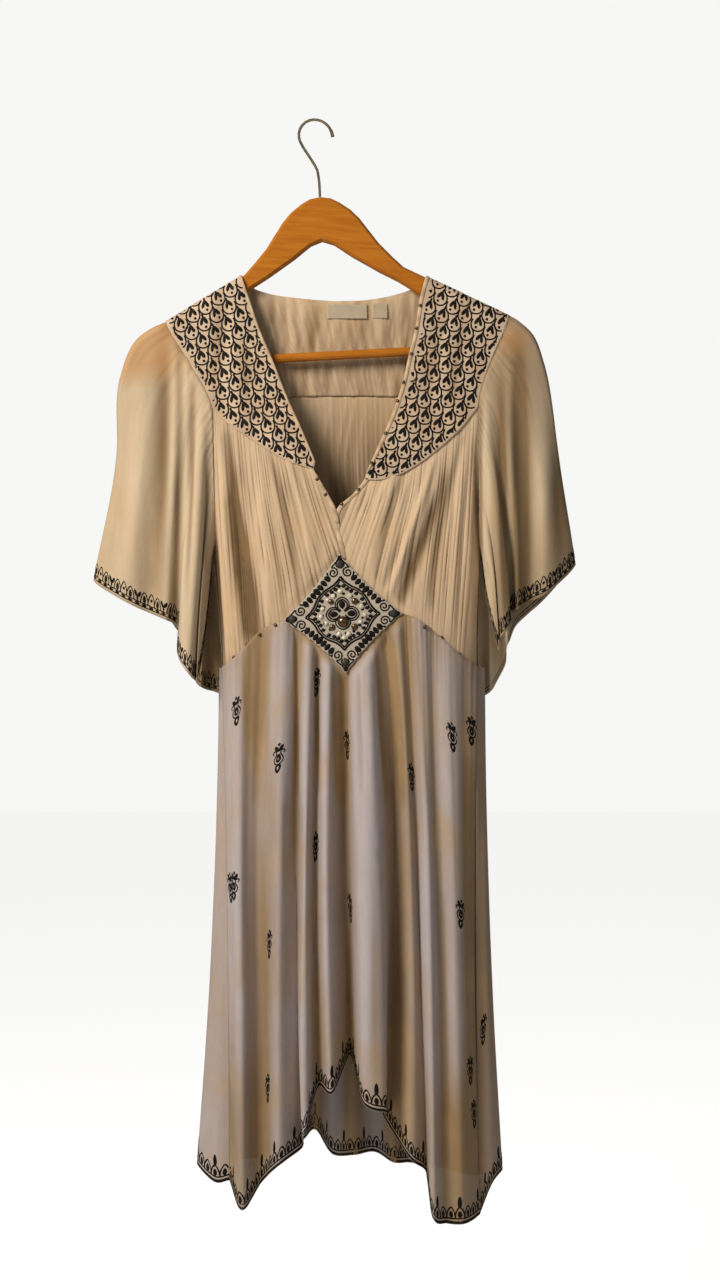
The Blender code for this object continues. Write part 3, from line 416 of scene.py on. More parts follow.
def outwards(grid, towards):
    """Normals of a grid that face out of the dress: towards is -1 in front and 1 behind."""
    normals = np.cross(np.gradient(grid, axis=1), np.gradient(grid, axis=0))
    normals /= np.maximum(np.linalg.norm(normals, axis=2, keepdims=True), 1e-9)
    facing = normals[:, : normals.shape[1] // 2, 1].mean()
    return normals * (1 if facing * towards > 0 else -1)


def raised(grid, height, towards):
    """The grid moved outwards by a height at each point."""
    return grid + outwards(grid, towards) * np.asarray(height)[..., None]


# %% [markdown]
# ## The panels
#
# Each panel is worked out between its edges: two curved edges above and below, and two at the sides.

# %% The front yokes
def yoke_grid(side, rows=(10, 22, 34), columns=44):
    """A front yoke: over the arm, down to its corner, and on to the narrow tip."""
    wrap, upper, lower = (np.linspace(0, 1, count + 1)[1:] for count in rows)
    distances = wrap_distances(np.concatenate([[0], wrap]))
    edges = []
    armhole, neck = armhole_line(side, YOKE_CORNER_HEIGHT), YOKE_NECK[side]
    for line, corner, low in ((neck, YOKE_CORNER_SHARE, neck), (armhole, 1, YOKE_LOWER[side])):
        start = at_distances(line, distances)
        share = share_at(line, start[-1])
        rest = YOKE_CORNER_SHARE + (1 - YOKE_CORNER_SHARE) * lower if low is neck else lower
        middle = along(line, share + (corner - share) * upper)
        edges.append(np.concatenate([start, middle, along(low, rest)]))
    across = np.linspace(0, 1, columns)[None, :, None]
    plan = edges[0][:, None] * (1 - across) + edges[1][:, None] * across
    forward = depth(plan[..., 0], plan[..., 1], FRONT)
    forward[0] = 0
    return stand(plan, forward, -1)


# %% The back yoke
def back_yoke_seam(x):
    left, right = (corner_x(side) for side in SIDES)
    across = np.abs(2 * x - left - right) / (right - left)
    return BACK_YOKE_HEIGHT + (YOKE_CORNER_HEIGHT - BACK_YOKE_HEIGHT) * np.minimum(across, 1) ** 3


def back_yoke_top(side, line, distances, shoulder, neck_columns):
    """Half of its upper edge: along the shoulder, over the arm and down to the middle of the neck."""
    corner = at_distances(YOKE_NECK[side], [0])[0]
    top = line[0] + np.linspace(0, 1, shoulder + 1)[:, None] * (corner - line[0])
    neck = BACK_NECK[side]
    wrap = at_distances(neck, distances)[1:]
    share = share_at(neck, wrap[-1])
    rest = along(neck, share + (1 - share) * np.linspace(0, 1, neck_columns + 1)[1:])
    return np.concatenate([top, wrap, rest])


def back_yoke_grid(shoulder=24, over=10, neck_columns=40, low_rows=44):
    """The back yoke from armhole to armhole, with the neckline between the shoulders."""
    distances = wrap_distances(np.linspace(0, 1, over + 1))
    edges = [armhole_line(side, YOKE_CORNER_HEIGHT) for side in SIDES]
    left, right = (back_yoke_top(*half, distances, shoulder, neck_columns) for half in zip(SIDES, edges))
    top = np.concatenate([left, right[-2::-1]])
    u = np.linspace(0, 1, len(top))
    spread = (top[:, 0] - top[0, 0]) / (top[-1, 0] - top[0, 0])
    ends = edges[0][-1, 0], edges[1][-1, 0]
    bottom_x = ends[0] + (spread + u) / 2 * (ends[1] - ends[0])
    bottom = np.stack([bottom_x, back_yoke_seam(bottom_x) + SEAM / 2], axis=1)
    drop = below_shoulder(*bottom.T) - below_shoulder(*top.T)
    wrap = distances[:, None] / drop[None, :]
    low = wrap[-1] + (1 - wrap[-1]) * np.linspace(0, 1, low_rows + 1)[1:, None]
    shares = np.concatenate([wrap, low])[..., None]
    plan = top[None] * (1 - shares) + bottom[None] * shares
    for end, line, weight in ((0, edges[0], (1 - u) ** 4), (-1, edges[1], u ** 4)):
        true_x = np.interp(-plan[:, end, 1], -line[:, 1], line[:, 0])
        plan[..., 0] += (true_x - plan[:, end, 0])[:, None] * weight[None, :]
    backward = depth(plan[..., 0], plan[..., 1], BACK)
    backward[0, : shoulder + 1] = backward[0, -shoulder - 1 :] = 0
    return stand(plan, backward, 1)


# %% The bodice
def bodice_grid(side, rows=112, columns=270):
    """A bodice front, smooth, from under the yoke's lower edge down to the empire seam."""
    u, shares = np.linspace(0, 1, columns), np.linspace(0, 1, rows)
    top = lowered(along(YOKE_LOWER[side], u), SEAM)
    bottom = lowered(along(WAIST[side], u), -WAIST_SEAM / 2)
    heights = top[0, 1] + (bottom[0, 1] - top[0, 1]) * shares
    table = np.array(BODICE_INNER[side], float)
    inner = flow(table[:, 0], table[:, 1:], shares)
    inner[0], inner[-1] = top[-1], bottom[-1]
    plan = patch(top, bottom, armhole_edge(side, heights), inner, shares)
    return stand(plan, depth(plan[..., 0], plan[..., 1], FRONT), -1)


def back_bodice_grid(rows=64, columns=270):
    """The back bodice, smooth, from the back yoke to the waist."""
    u, shares = np.linspace(0, 1, columns), np.linspace(0, 1, rows)[:, None]
    ends = [corner_x(side) for side in SIDES]
    seam = back_yoke_seam(ends[0] + u * (ends[1] - ends[0])) - SEAM / 2
    height = seam + (BACK_WAIST_HEIGHT + SEAM / 2 - seam) * shares
    left, right = (body_column(height[:, k], side)[:, None] for k, side in ((0, LEFT), (-1, RIGHT)))
    plan = np.stack([left + (right - left) * u, height], axis=2)
    return stand(plan, depth(plan[..., 0], height, BACK), 1)


# %% The skirt
def three_heights(top, middle, low, share):
    """Values that run through one at the waist, one at the middle and one at the hem."""
    mid = SKIRT_MID_SHARE
    from_top = (share - mid) * (share - 1) / mid
    from_middle = share * (share - 1) / (mid * (mid - 1))
    from_hem = share * (share - mid) / (1 - mid)
    return top * from_top + middle * from_middle + low * from_hem


def skirt_front_grid(rows=140, steps=11):
    """Rows from the waist to the hem, columns through the ridges and valleys."""
    folds = flow_between(SKIRT_FRONT, steps)
    seam = np.array(WAIST["left"] + WAIST["right"][::-1], float)
    top = np.stack([folds[:, 0], flow(seam[:, 0], seam[:, 1], folds[:, 0])], axis=1)
    top = lowered(top, WAIST_SEAM / 2)[:, 1]
    share = np.linspace(0, 1, rows)[:, None]
    height = top + (folds[:, 6] - top) * share
    x = three_heights(*folds[:, :3].T, share)
    forward = three_heights(*folds[:, 3:6].T, share)
    plan = np.stack([x, height], axis=2)
    return stand(plan, depth(x, height, FRONT) + forward * calm(plan), -1)


def skirt_back_grid(front, steps=8):
    """Columns from the front's left edge round behind to its right edge."""
    folds = np.array(SKIRT_BACK)
    share = np.linspace(0, 1, len(front))[:, None]
    height = BACK_WAIST_HEIGHT - SEAM / 2 + (folds[:, 6] - BACK_WAIST_HEIGHT) * share
    x, y = (three_heights(*folds[:, first:6:2].T, share) for first in (0, 1))
    knots = np.concatenate([front[:, :1], np.stack([x, y, height], axis=2), front[:, -1:]], axis=1)
    return flow_between(knots.transpose(1, 0, 2), steps).transpose(1, 0, 2)


# %% The sleeves
# how far the hem of the strands is drawn outwards and up in front, so that the back layer shows
SLEEVE_FRONT_DRAW = {
    "left": [(2, 8), (13, 6), (22, 14), (12, 6), (0, 0)],
    "right": [
        (4, 10), (17, 20), (25, 42), (15, 48), (5, 48), (3, 46), (2, 38), (1, 30), (1, 24), (0, 18),
        (0, 12), (0, 6),
    ],
}
SLEEVE_BACK_DRAW = [(-5, -6), (-6, 0), (-2, 0), (0, 0), (0, 0)]


def sleeve_strand(side, row, start, towards):
    """One strand of a sleeve: its start on the armhole, its bow over the arm and its stations."""
    stations = []
    for k, spread in enumerate(SLEEVE_SPREAD[side]):
        out, forward, height = row[1 + 3 * k : 4 + 3 * k]
        if k < 2:
            height = height + SLEEVE_LIFT[side] * out
        elif side == "right":
            height = row[10]
        if k == 2 and forward > 4 and out < SLEEVE_BACK_REACH and towards > 0:
            height = height - SLEEVE_BACK_DROP
        x = SLEEVE_SIDE[side] + outward(side) * out * spread
        stations.append((x, towards * forward, height))
    first = np.array(stations[0])
    run = first - start
    square = np.array([-run[2], 0, run[0]]) / max(math.hypot(run[0], run[2]), 1e-6)
    if square[0] * outward(side) < 0:
        square = -square
    middle = (start + first) / 2 + square * row[11] * SLEEVE_BOW[side]
    return np.array([start, middle, *stations])


def sleeve_half(side, towards):
    """The strands of a sleeve's front or back, from the underarm to the top of the arm."""
    column, half = (FRONT if towards < 0 else BACK), []
    draw = SLEEVE_FRONT_DRAW[side] if towards < 0 else SLEEVE_BACK_DRAW
    for k, row in enumerate(SLEEVE):
        x, z = armhole_edge(side, np.array([row[0]]))[0] + [outward(side) * SLEEVE_SEAM, 0]
        start = np.array([x, towards * float(depth(x, z, column)), z])
        strand = sleeve_strand(side, row, start, towards)
        out, drop = draw[min(k, len(draw) - 1)]
        strand[-2:] += np.array([[0.5], [1.0]]) * [(outward(side) * out, 0, drop)]
        half.append(strand)
    line = armhole_line(side, UNDERARM_HEIGHT)
    for row in SLEEVE_TOP[: 3 if towards < 0 else 2]:
        on_line = at_distances(line, [WRAP_RADIUS * (1 - math.cos(math.radians(row[0])))])[0]
        x, z = on_line + [outward(side) * SLEEVE_SEAM, SLEEVE_SEAM * ARM_SLOPE]
        away = 0.0 if row[0] == 0 else towards * float(depth(*on_line, column))
        half.append(sleeve_strand(side, row, np.array([x, away, z]), towards))
    return half


def sleeve_grid(side, rows=80, steps=7):
    """Strands from the armhole to the hem: in front, over the arm and behind."""
    strands = np.array(sleeve_half(side, -1) + sleeve_half(side, 1)[::-1])
    grid = flow(SLEEVE_STATIONS, strands.transpose(1, 0, 2), np.linspace(0, 1, rows))
    return flow_between(grid.transpose(1, 0, 2), steps).transpose(1, 0, 2)

# %% [markdown]
# ## Materials
#
# The cloth has two colours, a lit one for the ridges and a darker one for the valleys, where its thin
# layers lie closer and the shade falls: painted light and shade. Each point of a panel carries its place
# between them. Soft stains and the threads of the weave come on top.

# %% Shader nodes
def fill(made, values):
    """Give a node's inputs plain values, or links where a value is the output of another node."""
    for key, value in values.items():
        if isinstance(value, bpy.types.NodeSocket):
            made.id_data.links.new(value, made.inputs[key])
        else:
            made.inputs[key].default_value = value


def node(tree, kind, values=None, **settings):
    """A new node with these settings and inputs."""
    made = tree.nodes.new(kind)
    for key, value in settings.items():
        setattr(made, key, value)
    fill(made, values or {})
    return made


def mixed(tree, a, b, factor, blend="MIX"):
    """A colour between two."""
    values = {6: a, 7: b, 0: factor}
    return node(tree, "ShaderNodeMix", values, data_type="RGBA", blend_type=blend).outputs[2]


def sum_of(tree, a, b, operation):
    """Two values added or multiplied."""
    return node(tree, "ShaderNodeMath", {0: a, 1: b}, operation=operation).outputs[0]


def ramp(tree, source, stops):
    """A value stretched from one range to another; the stops are the ends of both."""
    values = dict(zip(("From Min", "From Max", "To Min", "To Max"), stops))
    return node(tree, "ShaderNodeMapRange", {"Value": source, **values}).outputs["Result"]


def marked(tree, label):
    """A value that the panel keeps at each of its points."""
    return node(tree, "ShaderNodeAttribute", attribute_name=label).outputs["Fac"]


def noise(tree, place, scale, detail, **others):
    """Soft noise over some coordinates."""
    values = {"Vector": place, "Scale": scale, "Detail": detail, **others}
    return node(tree, "ShaderNodeTexNoise", values).outputs["Fac"]


def bumped(tree, height, strength, distance):
    """Fine relief in the surface, from a height."""
    values = {"Height": height, "Strength": strength, "Distance": distance}
    return node(tree, "ShaderNodeBump", values).outputs["Normal"]


def fresh(name):
    """A new material, its tree and its shader."""
    material = bpy.data.materials.new(name)
    material.use_nodes = True
    return material, material.node_tree, material.node_tree.nodes["Principled BSDF"]


# %% Thin cotton
def cloth_group():
    """Colour, height and roughness of thin crinkled cotton, from its painted shade between the lit and
    the shaded colour, and its flat place.
    """
    tree = bpy.data.node_groups.new("thin_cotton", "ShaderNodeTree")
    sockets = {
        "INPUT": {"Lit ridge": "Color", "Shaded valley": "Color", "Stain": "Color", "Stain amount": "Float"},
        "OUTPUT": {"Color": "Color", "Height": "Float", "Roughness": "Float"},
    }
    for way, labels in sockets.items():
        for label, kind in labels.items():
            tree.interface.new_socket(label, in_out=way, socket_type="NodeSocket" + kind)
    into = tree.nodes.new("NodeGroupInput").outputs
    painted_shade = marked(tree, "painted_shade")
    place = node(tree, "ShaderNodeUVMap", uv_map="cloth").outputs[0]
    longer = node(tree, "ShaderNodeMapping", {"Vector": place, "Scale": (1.0, 0.22, 1.0)}).outputs[0]
    broad = noise(tree, place, 9.0, 4.0, Roughness=0.55)
    fine = noise(tree, longer, 120.0, 5.0, Roughness=0.7)
    crepe = noise(tree, place, 420.0, 3.0)
    patches = ramp(tree, broad, (0.48, 0.72, 0, 1))
    amount = sum_of(tree, patches, into["Stain amount"], "MULTIPLY")
    stained = mixed(tree, mixed(tree, into["Shaded valley"], into["Lit ridge"], painted_shade), into["Stain"], amount)
    threads = ramp(tree, fine, (0.3, 0.7, 0.93, 1.06))
    fill(tree.nodes.new("NodeGroupOutput"), {
        "Color": mixed(tree, stained, threads, 1.0, "MULTIPLY"),
        "Roughness": ramp(tree, crepe, (0.3, 0.7, 0.7, 0.95)),
        "Height": sum_of(tree, crepe, fine, "ADD"),
    })
    return tree


THIN_COTTON = cloth_group()


def cotton(name, ridge, valley, stain, stain_amount, behind=None):
    """A thin cotton with painted light on its ridges and painted shade in its valleys; behind is the
    colour that shows faintly through sheer cloth.
    """
    material, tree, shader = fresh(name)
    values = {"Lit ridge": (*ridge, 1), "Shaded valley": (*valley, 1), "Stain": (*stain, 1)}
    values["Stain amount"] = stain_amount
    cloth = node(tree, "ShaderNodeGroup", values, node_tree=THIN_COTTON).outputs
    colour = cloth["Color"]
    if behind:  # the panel says what shows at each point, and how far the cloth covers there
        colour = mixed(tree, colour, (*behind, 1), marked(tree, "tint"))
        fill(shader, {"Alpha": marked(tree, "cover")})
    fill(shader, {
        "Base Color": colour, "Roughness": cloth["Roughness"], "Sheen Weight": 0.15,
        "Specular IOR Level": 0.25, "Normal": bumped(tree, cloth["Height"], 0.35, 0.0006),
    })
    return material


# %% [markdown]
# ## From grid to cloth
#
# A panel becomes a thin closed shell: one smooth layer of points, thickened by a modifier. Its flat
# coordinates are in metres, so that the weave keeps its size on every panel.

# %% Make a piece
def put(name, mesh, nodes=()):
    """A mesh in the scene that rides on the one body, and stands for these nodes."""
    made = bpy.data.objects.new(name, mesh)
    bpy.context.scene.collection.objects.link(made)
    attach(made, "root")
    if nodes:
        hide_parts(*nodes)
    return made


def piece(name, vertices, faces, material, nodes=()):
    mesh = bpy.data.meshes.new(name)
    mesh.from_pydata([tuple(p) for p in np.asarray(vertices) * MM], [], [tuple(f) for f in faces])
    mesh.materials.append(material)
    mesh.shade_smooth()
    return put(name, mesh, nodes)


def mark(mesh, label, values, kind="FLOAT", field="value"):
    """Keep a value at each point of a mesh, for its material or for Geometry Nodes."""
    mesh.attributes.new(label, kind, "POINT").data.foreach_set(field, values.ravel())


# %% Make a panel
def quads(grid):
    """The faces of a grid, each as the numbers of its four points."""
    rows, columns = grid.shape[:2]
    a = (np.arange(rows - 1)[:, None] * columns + np.arange(columns - 1)[None, :]).ravel()
    return np.stack([a, a + 1, a + columns + 1, a + columns], axis=1).tolist()


def steps_of(grid):
    """Distances from each point to the next, across and down the cloth."""
    return tuple(np.linalg.norm(np.diff(grid, axis=axis), axis=2) for axis in (1, 0))


CUTS = {}  # width, length and area of each panel, measured along the cloth, in metres


def panel(name, grid, painted_shade, material, thickness=0.5, nodes=None):
    """A panel of cloth from its grid, with a painted shade from 0 to 1 at each point: 0 takes the shaded
    colour, 1 the lit one.
    """
    nodes = [name] if nodes is None else nodes
    made = piece(name, grid.reshape(-1, 3), quads(grid), material, nodes)
    mesh, (across, down) = made.data, steps_of(grid)
    places = (np.concatenate([[0], np.cumsum(steps)]) * MM for steps in (across.mean(0), down.mean(1)))
    flat = np.stack(np.meshgrid(*places), axis=2).reshape(-1, 2)
    corners = np.empty(len(mesh.loops), int)
    mesh.loops.foreach_get("vertex_index", corners)
    mesh.uv_layers.new(name="cloth").data.foreach_set("uv", flat[corners].ravel())
    mark(mesh, "painted_shade", np.clip(painted_shade, 0, 1))
    thick = made.modifiers.new("thickness", "SOLIDIFY")
    thick.thickness, thick.offset = thickness * MM, 0
    widest, longest = across.sum(1).max() * MM, down.sum(0).max() * MM
    CUTS[name] = (widest, longest, sum(face.area for face in mesh.polygons))
    print(f"{name}: {len(mesh.polygons)} faces, {widest:.3f} x {longest:.3f} m, {CUTS[name][2]:.4f} m2")
    return made


# %% [markdown]
# ## Cloth pieces
#
# Each panel gets its pleats, gathers and creases here, as relief and as painted light and shade in its
# colour. The back layers are guessed to be like the front ones.

# %% Cloth colours: the lit colour of the ridges, the painted shade of the valleys, and stains
LIT_CREAM, SHADED_TAN = (0.60, 0.435, 0.275), (0.15, 0.088, 0.036)
LIT_GREIGE, SHADED_OCHRE = (0.52, 0.455, 0.455), (0.33, 0.215, 0.105)
SAND, RUST, SOOT = (0.62, 0.36, 0.15), (0.50, 0.235, 0.07), (0.10, 0.095, 0.095)
yoke_cotton = cotton("yoke_cotton", (0.62, 0.47, 0.33), (0.38, 0.26, 0.16), SAND, 0.25)
bodice_cotton = cotton("bodice_cotton", LIT_CREAM, SHADED_TAN, SAND, 0.35)
sleeve_cotton = cotton("sleeve_cotton", (0.64, 0.50, 0.33), (0.22, 0.14, 0.065), SAND, 0.25, RUST)
skirt_cotton = cotton("skirt_cotton", LIT_GREIGE, SHADED_OCHRE, (0.50, 0.33, 0.16), 0.7, SOOT)
surfaces = {}  # the grid of each panel, which the embroidery is laid on


def shares_of(grid):
    """How far across and how far down each point of a grid lies, from 0 to 1."""
    rows, columns = grid.shape[:2]
    return np.meshgrid(np.linspace(0, 1, columns), np.linspace(0, 1, rows))


# %% Yokes
# creases of the yokes, which lift the cloth and also paint their shade into its colour
YOKE_CREASES = {
    "left": [
        (219, 296, 213, 400, 0, 5, -1.3), (240, 318, 246, 430, 1, 5, -0.9),
        (230, 300, 229, 420, 0, 4, 0.8),
    ],
    "right": [
        (466, 310, 452, 400, 0, 5, -1.2), (440, 300, 424, 430, 0, 6, -0.8),
        (452, 300, 440, 410, 0, 4, 0.8),
    ],
}
for side, seed in zip(SIDES, (3, 4)):
    name, grid = "front_yoke_" + side, yoke_grid(side)
    waves, deep = crumple(grid, 9.0, seed, 2.0), creases(grid, YOKE_CREASES[side])
    surfaces[name] = raised(grid, 0.5 + 0.5 * waves + 0.5 * deep, -1)
    # painted light and shade of the crinkles and creases
    panel(name, surfaces[name], 0.68 + 0.5 * waves + 0.6 * deep, yoke_cotton, 0.8)

grid = back_yoke_grid()
u, v = shares_of(grid)
lines = pleats(u, v, 58, 21, 0.03, 0.8) * np.clip(v * 3, 0, 1)
waves = 0.9 * crumple(grid, 6.0, 8, 8.0) + 0.9 * crumple(grid, 2.8, 9, 10.0)
surfaces["back_yoke"] = raised(grid, 1.1 * lines + 1.3 * waves - 1.0, 1)
# painted shade in the pleats and crinkles
panel("back_yoke", surfaces["back_yoke"], 1.02 - 0.5 * lines - 0.55 * waves, bodice_cotton)

# %% Bodice
# the deeper folds that lie among the pleats, as relief and as painted shade
BODICE_CREASES = {
    "left": [
        (226, 440, 246, 648, 2, 6.5, -4.2), (232, 510, 258, 648, 1, 7.5, -5.4),
        (219, 430, 227, 650, 2, 4, 1.6), (252, 450, 268, 615, 4, 4, 1.6),
        (270, 455, 300, 600, 5, 4, -1.4), (286, 462, 312, 575, 4, 3, 1.2),
        (248, 560, 258, 630, 1, 4, 1.4),
    ],
    "right": [
        (446, 480, 396, 616, 0, 7, -3.6), (434, 462, 386, 606, 0, 4, 2.8),
        (464, 440, 430, 605, -4, 5, -2.4), (400, 540, 380, 600, 0, 4, -1.4),
        (400, 460, 368, 560, -4, 5, 1.8), (465, 450, 452, 630, -2, 5, 1.8),
        (412, 455, 376, 585, -5, 4, -1.6), (478, 440, 480, 560, 0, 4, -1.6),
        (468, 500, 474, 640, 0, 7, 2.4),
    ],
}
# a band of painted light beside the armhole of the right bodice
PAINTED_LIGHT_BAND = {"left": [], "right": [(466, 500, 474, 640, 0, 14, 0.7)]}  # beside the armhole
# pleats, their seed and the lightest painted shade, higher on the right bodice, which is painted lighter
BODICE_LOOK = {"left": (34, 31, 0.93), "right": (30, 57, 1.16)}


PLEAT_TOP, PLEAT_EDGE, PLEAT_WIDTH, MIRROR = -365, -107, 116, 60
LEAN_LEAST, LEAN_MORE, LEAN_WIDTH = 0.06, 0.4, 130  # how far the pleats lean, more near the middle


def slanted(grid, side):
    """The share across at which the pleat through each point starts: pleats lean to the middle."""
    x = grid[..., 0] if side == "left" else MIRROR - grid[..., 0]
    down = PLEAT_TOP - grid[..., 2]
    start = x.copy()
    for _ in range(30):  # each round comes nearer to the lean that belongs to the start
        near_middle = np.clip((start - PLEAT_EDGE) / LEAN_WIDTH, 0, 1.2)
        start = x - down * (LEAN_LEAST + LEAN_MORE * near_middle**1.5)
    return (start - PLEAT_EDGE) / PLEAT_WIDTH


for side in SIDES:
    name, grid = "front_bodice_" + side, bodice_grid(side)
    count, seed, lightest = BODICE_LOOK[side]
    u, v = shares_of(grid)
    quiet = calm(grid[..., [0, 2]])
    rise = np.sin(math.pi * np.clip(v, 0.03, 0.95)) ** 0.4  # the pleats are flat at both seams
    run = slanted(grid, side)
    lines, broad = pleats(run, v, count, seed, 0.014, 0.4, 0.05), pleats(run, v, 11, 45, 0.008, 1.2)
    deep, waves = creases(grid, BODICE_CREASES[side]), crumple(grid, 5.0, 12, 6.0)
    height = (1.7 * lines + 1.4 * broad) * rise * (0.3 + 0.7 * quiet) + 0.35 * waves * rise
    height = height - 1.6 + deep * quiet
    # painted shade in the valleys of the pleats, less near the seams, with the creases' own shade and the
    # band of painted light
    painted_shade = lightest - (1.5 * (1 - lines) + 0.4 * (1 - broad)) * (0.35 + 0.65 * rise)
    painted_shade += 0.14 * waves + 0.3 * deep * quiet + creases(grid, PAINTED_LIGHT_BAND[side])
    surfaces[name] = raised(grid, height, -1)
    panel(name, surfaces[name], painted_shade, bodice_cotton)

grid = back_bodice_grid()
u, v = shares_of(grid)
rise = np.sin(math.pi * np.clip(v, 0.04, 0.94)) ** 0.5
lines, broad = pleats(u, v, 52, 51, 0.02), pleats(u, v, 15, 52, 0.03)
surfaces["back_bodice"] = raised(grid, (1.3 * lines + 2.2 * broad) * rise, 1)
# painted shade in the valleys of the pleats
painted_shade = 1.0 - (0.42 * lines + 0.35 * broad) * rise
panel("back_bodice", surfaces["back_bodice"], painted_shade, bodice_cotton)

# %% Creases of the skirt
# gathers that run down from the seam, and folds below them
SKIRT_CREASES = [
    (291, 640, 286, 800, 0, 3.5, 2.0), (296, 645, 297, 790, 0, 2.5, -2.2),
    (307, 652, 304, 800, 0, 3.5, 2.2), (316, 662, 318, 790, 0, 2.8, -2.2),
    (325, 665, 326, 800, 0, 4, 2.2), (333, 672, 337, 800, 0, 2.5, -2.4),
    (346, 672, 344, 790, 0, 2.5, -2.2), (353, 668, 358, 820, 0, 4, 2.2),
    (360, 662, 363, 790, 0, 2.2, -1.8), (368, 656, 373, 820, 0, 4, 2.2),
    (376, 650, 386, 800, 0, 2.8, -2.6), (383, 645, 393, 780, 0, 3, 1.6),
    (394, 638, 404, 800, 0, 4, -2.6), (262, 645, 256, 800, 0, 4, -1.8),
    (275, 640, 272, 780, 0, 6, 1.4), (419, 640, 428, 800, 0, 3, -1.6),
    (440, 650, 446, 800, 0, 8, 1.2), (240, 670, 232, 900, 0, 5, 1.2),
    (247, 670, 244, 980, 0, 4, -1.6), (464, 680, 470, 1000, 0, 5, -1.6),
    (262, 850, 266, 1150, 0, 6, -2.2), (296, 860, 292, 1120, 0, 5, 3.0),
    (346, 800, 344, 1080, 0, 5, 2.4), (376, 880, 374, 1090, 0, 5, -1.8),
    (424, 850, 424, 1180, 0, 6, 2.6), (302, 950, 303, 1130, 0, 7, 3.2),
    (396, 760, 398, 960, 0, 7, 2.0), (478, 800, 482, 1180, 0, 9, -2.4),
    (444, 900, 446, 1150, 0, 5, -1.4), (394, 820, 396, 1050, 0, 4, 1.4),
]
# bands of painted shade, in the warm shaded colour, and of pale painted light that run down the cloth, as
# lines with a change of shade in place of a rise
SKIRT_SHADE_BANDS = [
    (274, 660, 276, 1150, 0, 9, -0.45), (250, 640, 250, 730, 0, 12, -0.8),
    (402, 650, 402, 1120, 0, 16, -0.55), (472, 730, 474, 1160, 0, 15, -0.7),
    (345, 660, 347, 1090, 0, 8, -0.35), (294, 690, 294, 880, 0, 5, -0.3),
    (428, 690, 446, 1060, 0, 6, -0.4), (228, 690, 226, 1100, 0, 9, 0.3),
    (318, 900, 320, 1090, 0, 8, -0.3), (236, 1050, 242, 1230, 0, 20, -0.6),
    (392, 1060, 398, 1190, 0, 12, -0.3), (378, 920, 374, 1130, 0, 8, -0.5),
    (462, 1060, 464, 1230, 0, 22, -0.8),
]
# the back's motifs, of which the first seven show faintly through the front
BACK_MOTIFS = [
    (371, 693), (377, 853), (391, 890), (295, 885), (233, 1050), (266, 1030), (318, 965),
    (255, 740), (310, 760), (430, 735), (470, 830), (235, 900), (345, 790), (445, 960), (410, 1040),
    (350, 1050), (480, 1020), (300, 1090),
]
SHOWS_THROUGH = 7


def relief(values, reach):
    """How far each value stands out from those round it in its row."""
    padded = np.pad(values, ((0, 0), (reach, reach)), mode="edge")
    total = np.cumsum(padded, axis=1)
    mean = (total[:, 2 * reach :] - total[:, : -2 * reach]) / (2 * reach)
    return values - mean[:, : values.shape[1]]


def sheer_panel(name, shade, material, tint, cover):
    """A panel that says what shows through each point, and how far the cloth covers there."""
    made = panel(name, surfaces[name], shade, material)
    mark(made.data, "tint", tint)
    mark(made.data, "cover", np.clip(cover, 0, 1))


# %% Skirt front
front = skirt_front_grid()
u, v = shares_of(front)
x, z = front[..., 0], front[..., 2]
forward = -front[..., 1] - depth(x, z, FRONT)
front[..., 1] -= np.where(forward > 0, 0.3, 0.05) * forward
quiet = calm(front[..., [0, 2]])
gathers = pleats(u, v, 60, 61, 0.01, 0.8) * np.exp(-v * 7) * (0.2 + 0.8 * quiet)
gathers = gathers + 0.3 * pleats(u, v, 44, 62, 0.004, 0.8) * quiet
waves, deep = crumple(front, 16.0, 14, 5.0), creases(front, SKIRT_CREASES) * quiet
height = 1.6 * gathers + 0.5 * waves * np.clip(v * 4, 0, 1) + 0.8 * deep
surfaces["skirt_front"] = raised(front, height, -1)
# painted light and shade: folds that stand forward lighter, folds that lie back darker, and the gathers,
# wrinkles and creases in their own shade
stands = forward / (3 + 9 * np.clip(v * 2.5, 0, 1))
low = np.clip((v - 0.72) / 0.28, 0, 1) * (0.6 + 1.1 * u)  # painted shade near the hem, most on the right, where less light falls
shade = 0.62 + np.where(stands > 0, 0.42, 0.34) * stands - 0.34 * low
shade = shade + 0.4 * (gathers - 0.24 - 0.6 * np.exp(-v * 7)) + 0.12 * waves + 0.2 * deep
# bands of painted light and shade, then more of the shaded colour towards the waist
shade = np.minimum(shade + creases(front, SKIRT_SHADE_BANDS), 1) - 0.42 * np.exp(-v * 6)
tint = 0 * shade
for px, py in BACK_MOTIFS[:SHOWS_THROUGH]:
    spot_x, spot_z = at_photo(px, py)
    tint += 0.32 * np.exp(-(((x - spot_x) / 5) ** 2) - ((z - spot_z) / 13) ** 2)
sheer_panel("skirt_front", shade, skirt_cotton, tint, 0.86 + tint)

# %% Skirt back
back = skirt_back_grid(front)
u, v = shares_of(back)
x = back[..., 0]
gathers = pleats(u, v, 60, 71, 0.01, 0.8) * np.exp(-v * 6)
waves = crumple(back, 16.0, 15, 5.0)
away = relief(np.hypot(back[..., 1], 0.4 * (x - 40)), 12)
surfaces["skirt_back"] = raised(back, 1.6 * gathers + 0.5 * waves * np.clip(v * 4, 0, 1), 1)
# painted light and shade: ridges lighter, the low middle of the inside darker, where it lies in shadow,
# and the right edge darker, where less light falls
middle, edge = np.exp(-(((x - 20) / 60) ** 2)) * np.clip(2 * v - 1, 0, 1), np.clip((x - 150) / 20, 0, 1)
shade = 0.66 + away / 12 + 0.3 * gathers + 0.15 * waves - 0.25 * middle - 0.5 * edge
sheer_panel("skirt_back", shade, skirt_cotton, 0 * shade, 0.9 + 0 * shade)

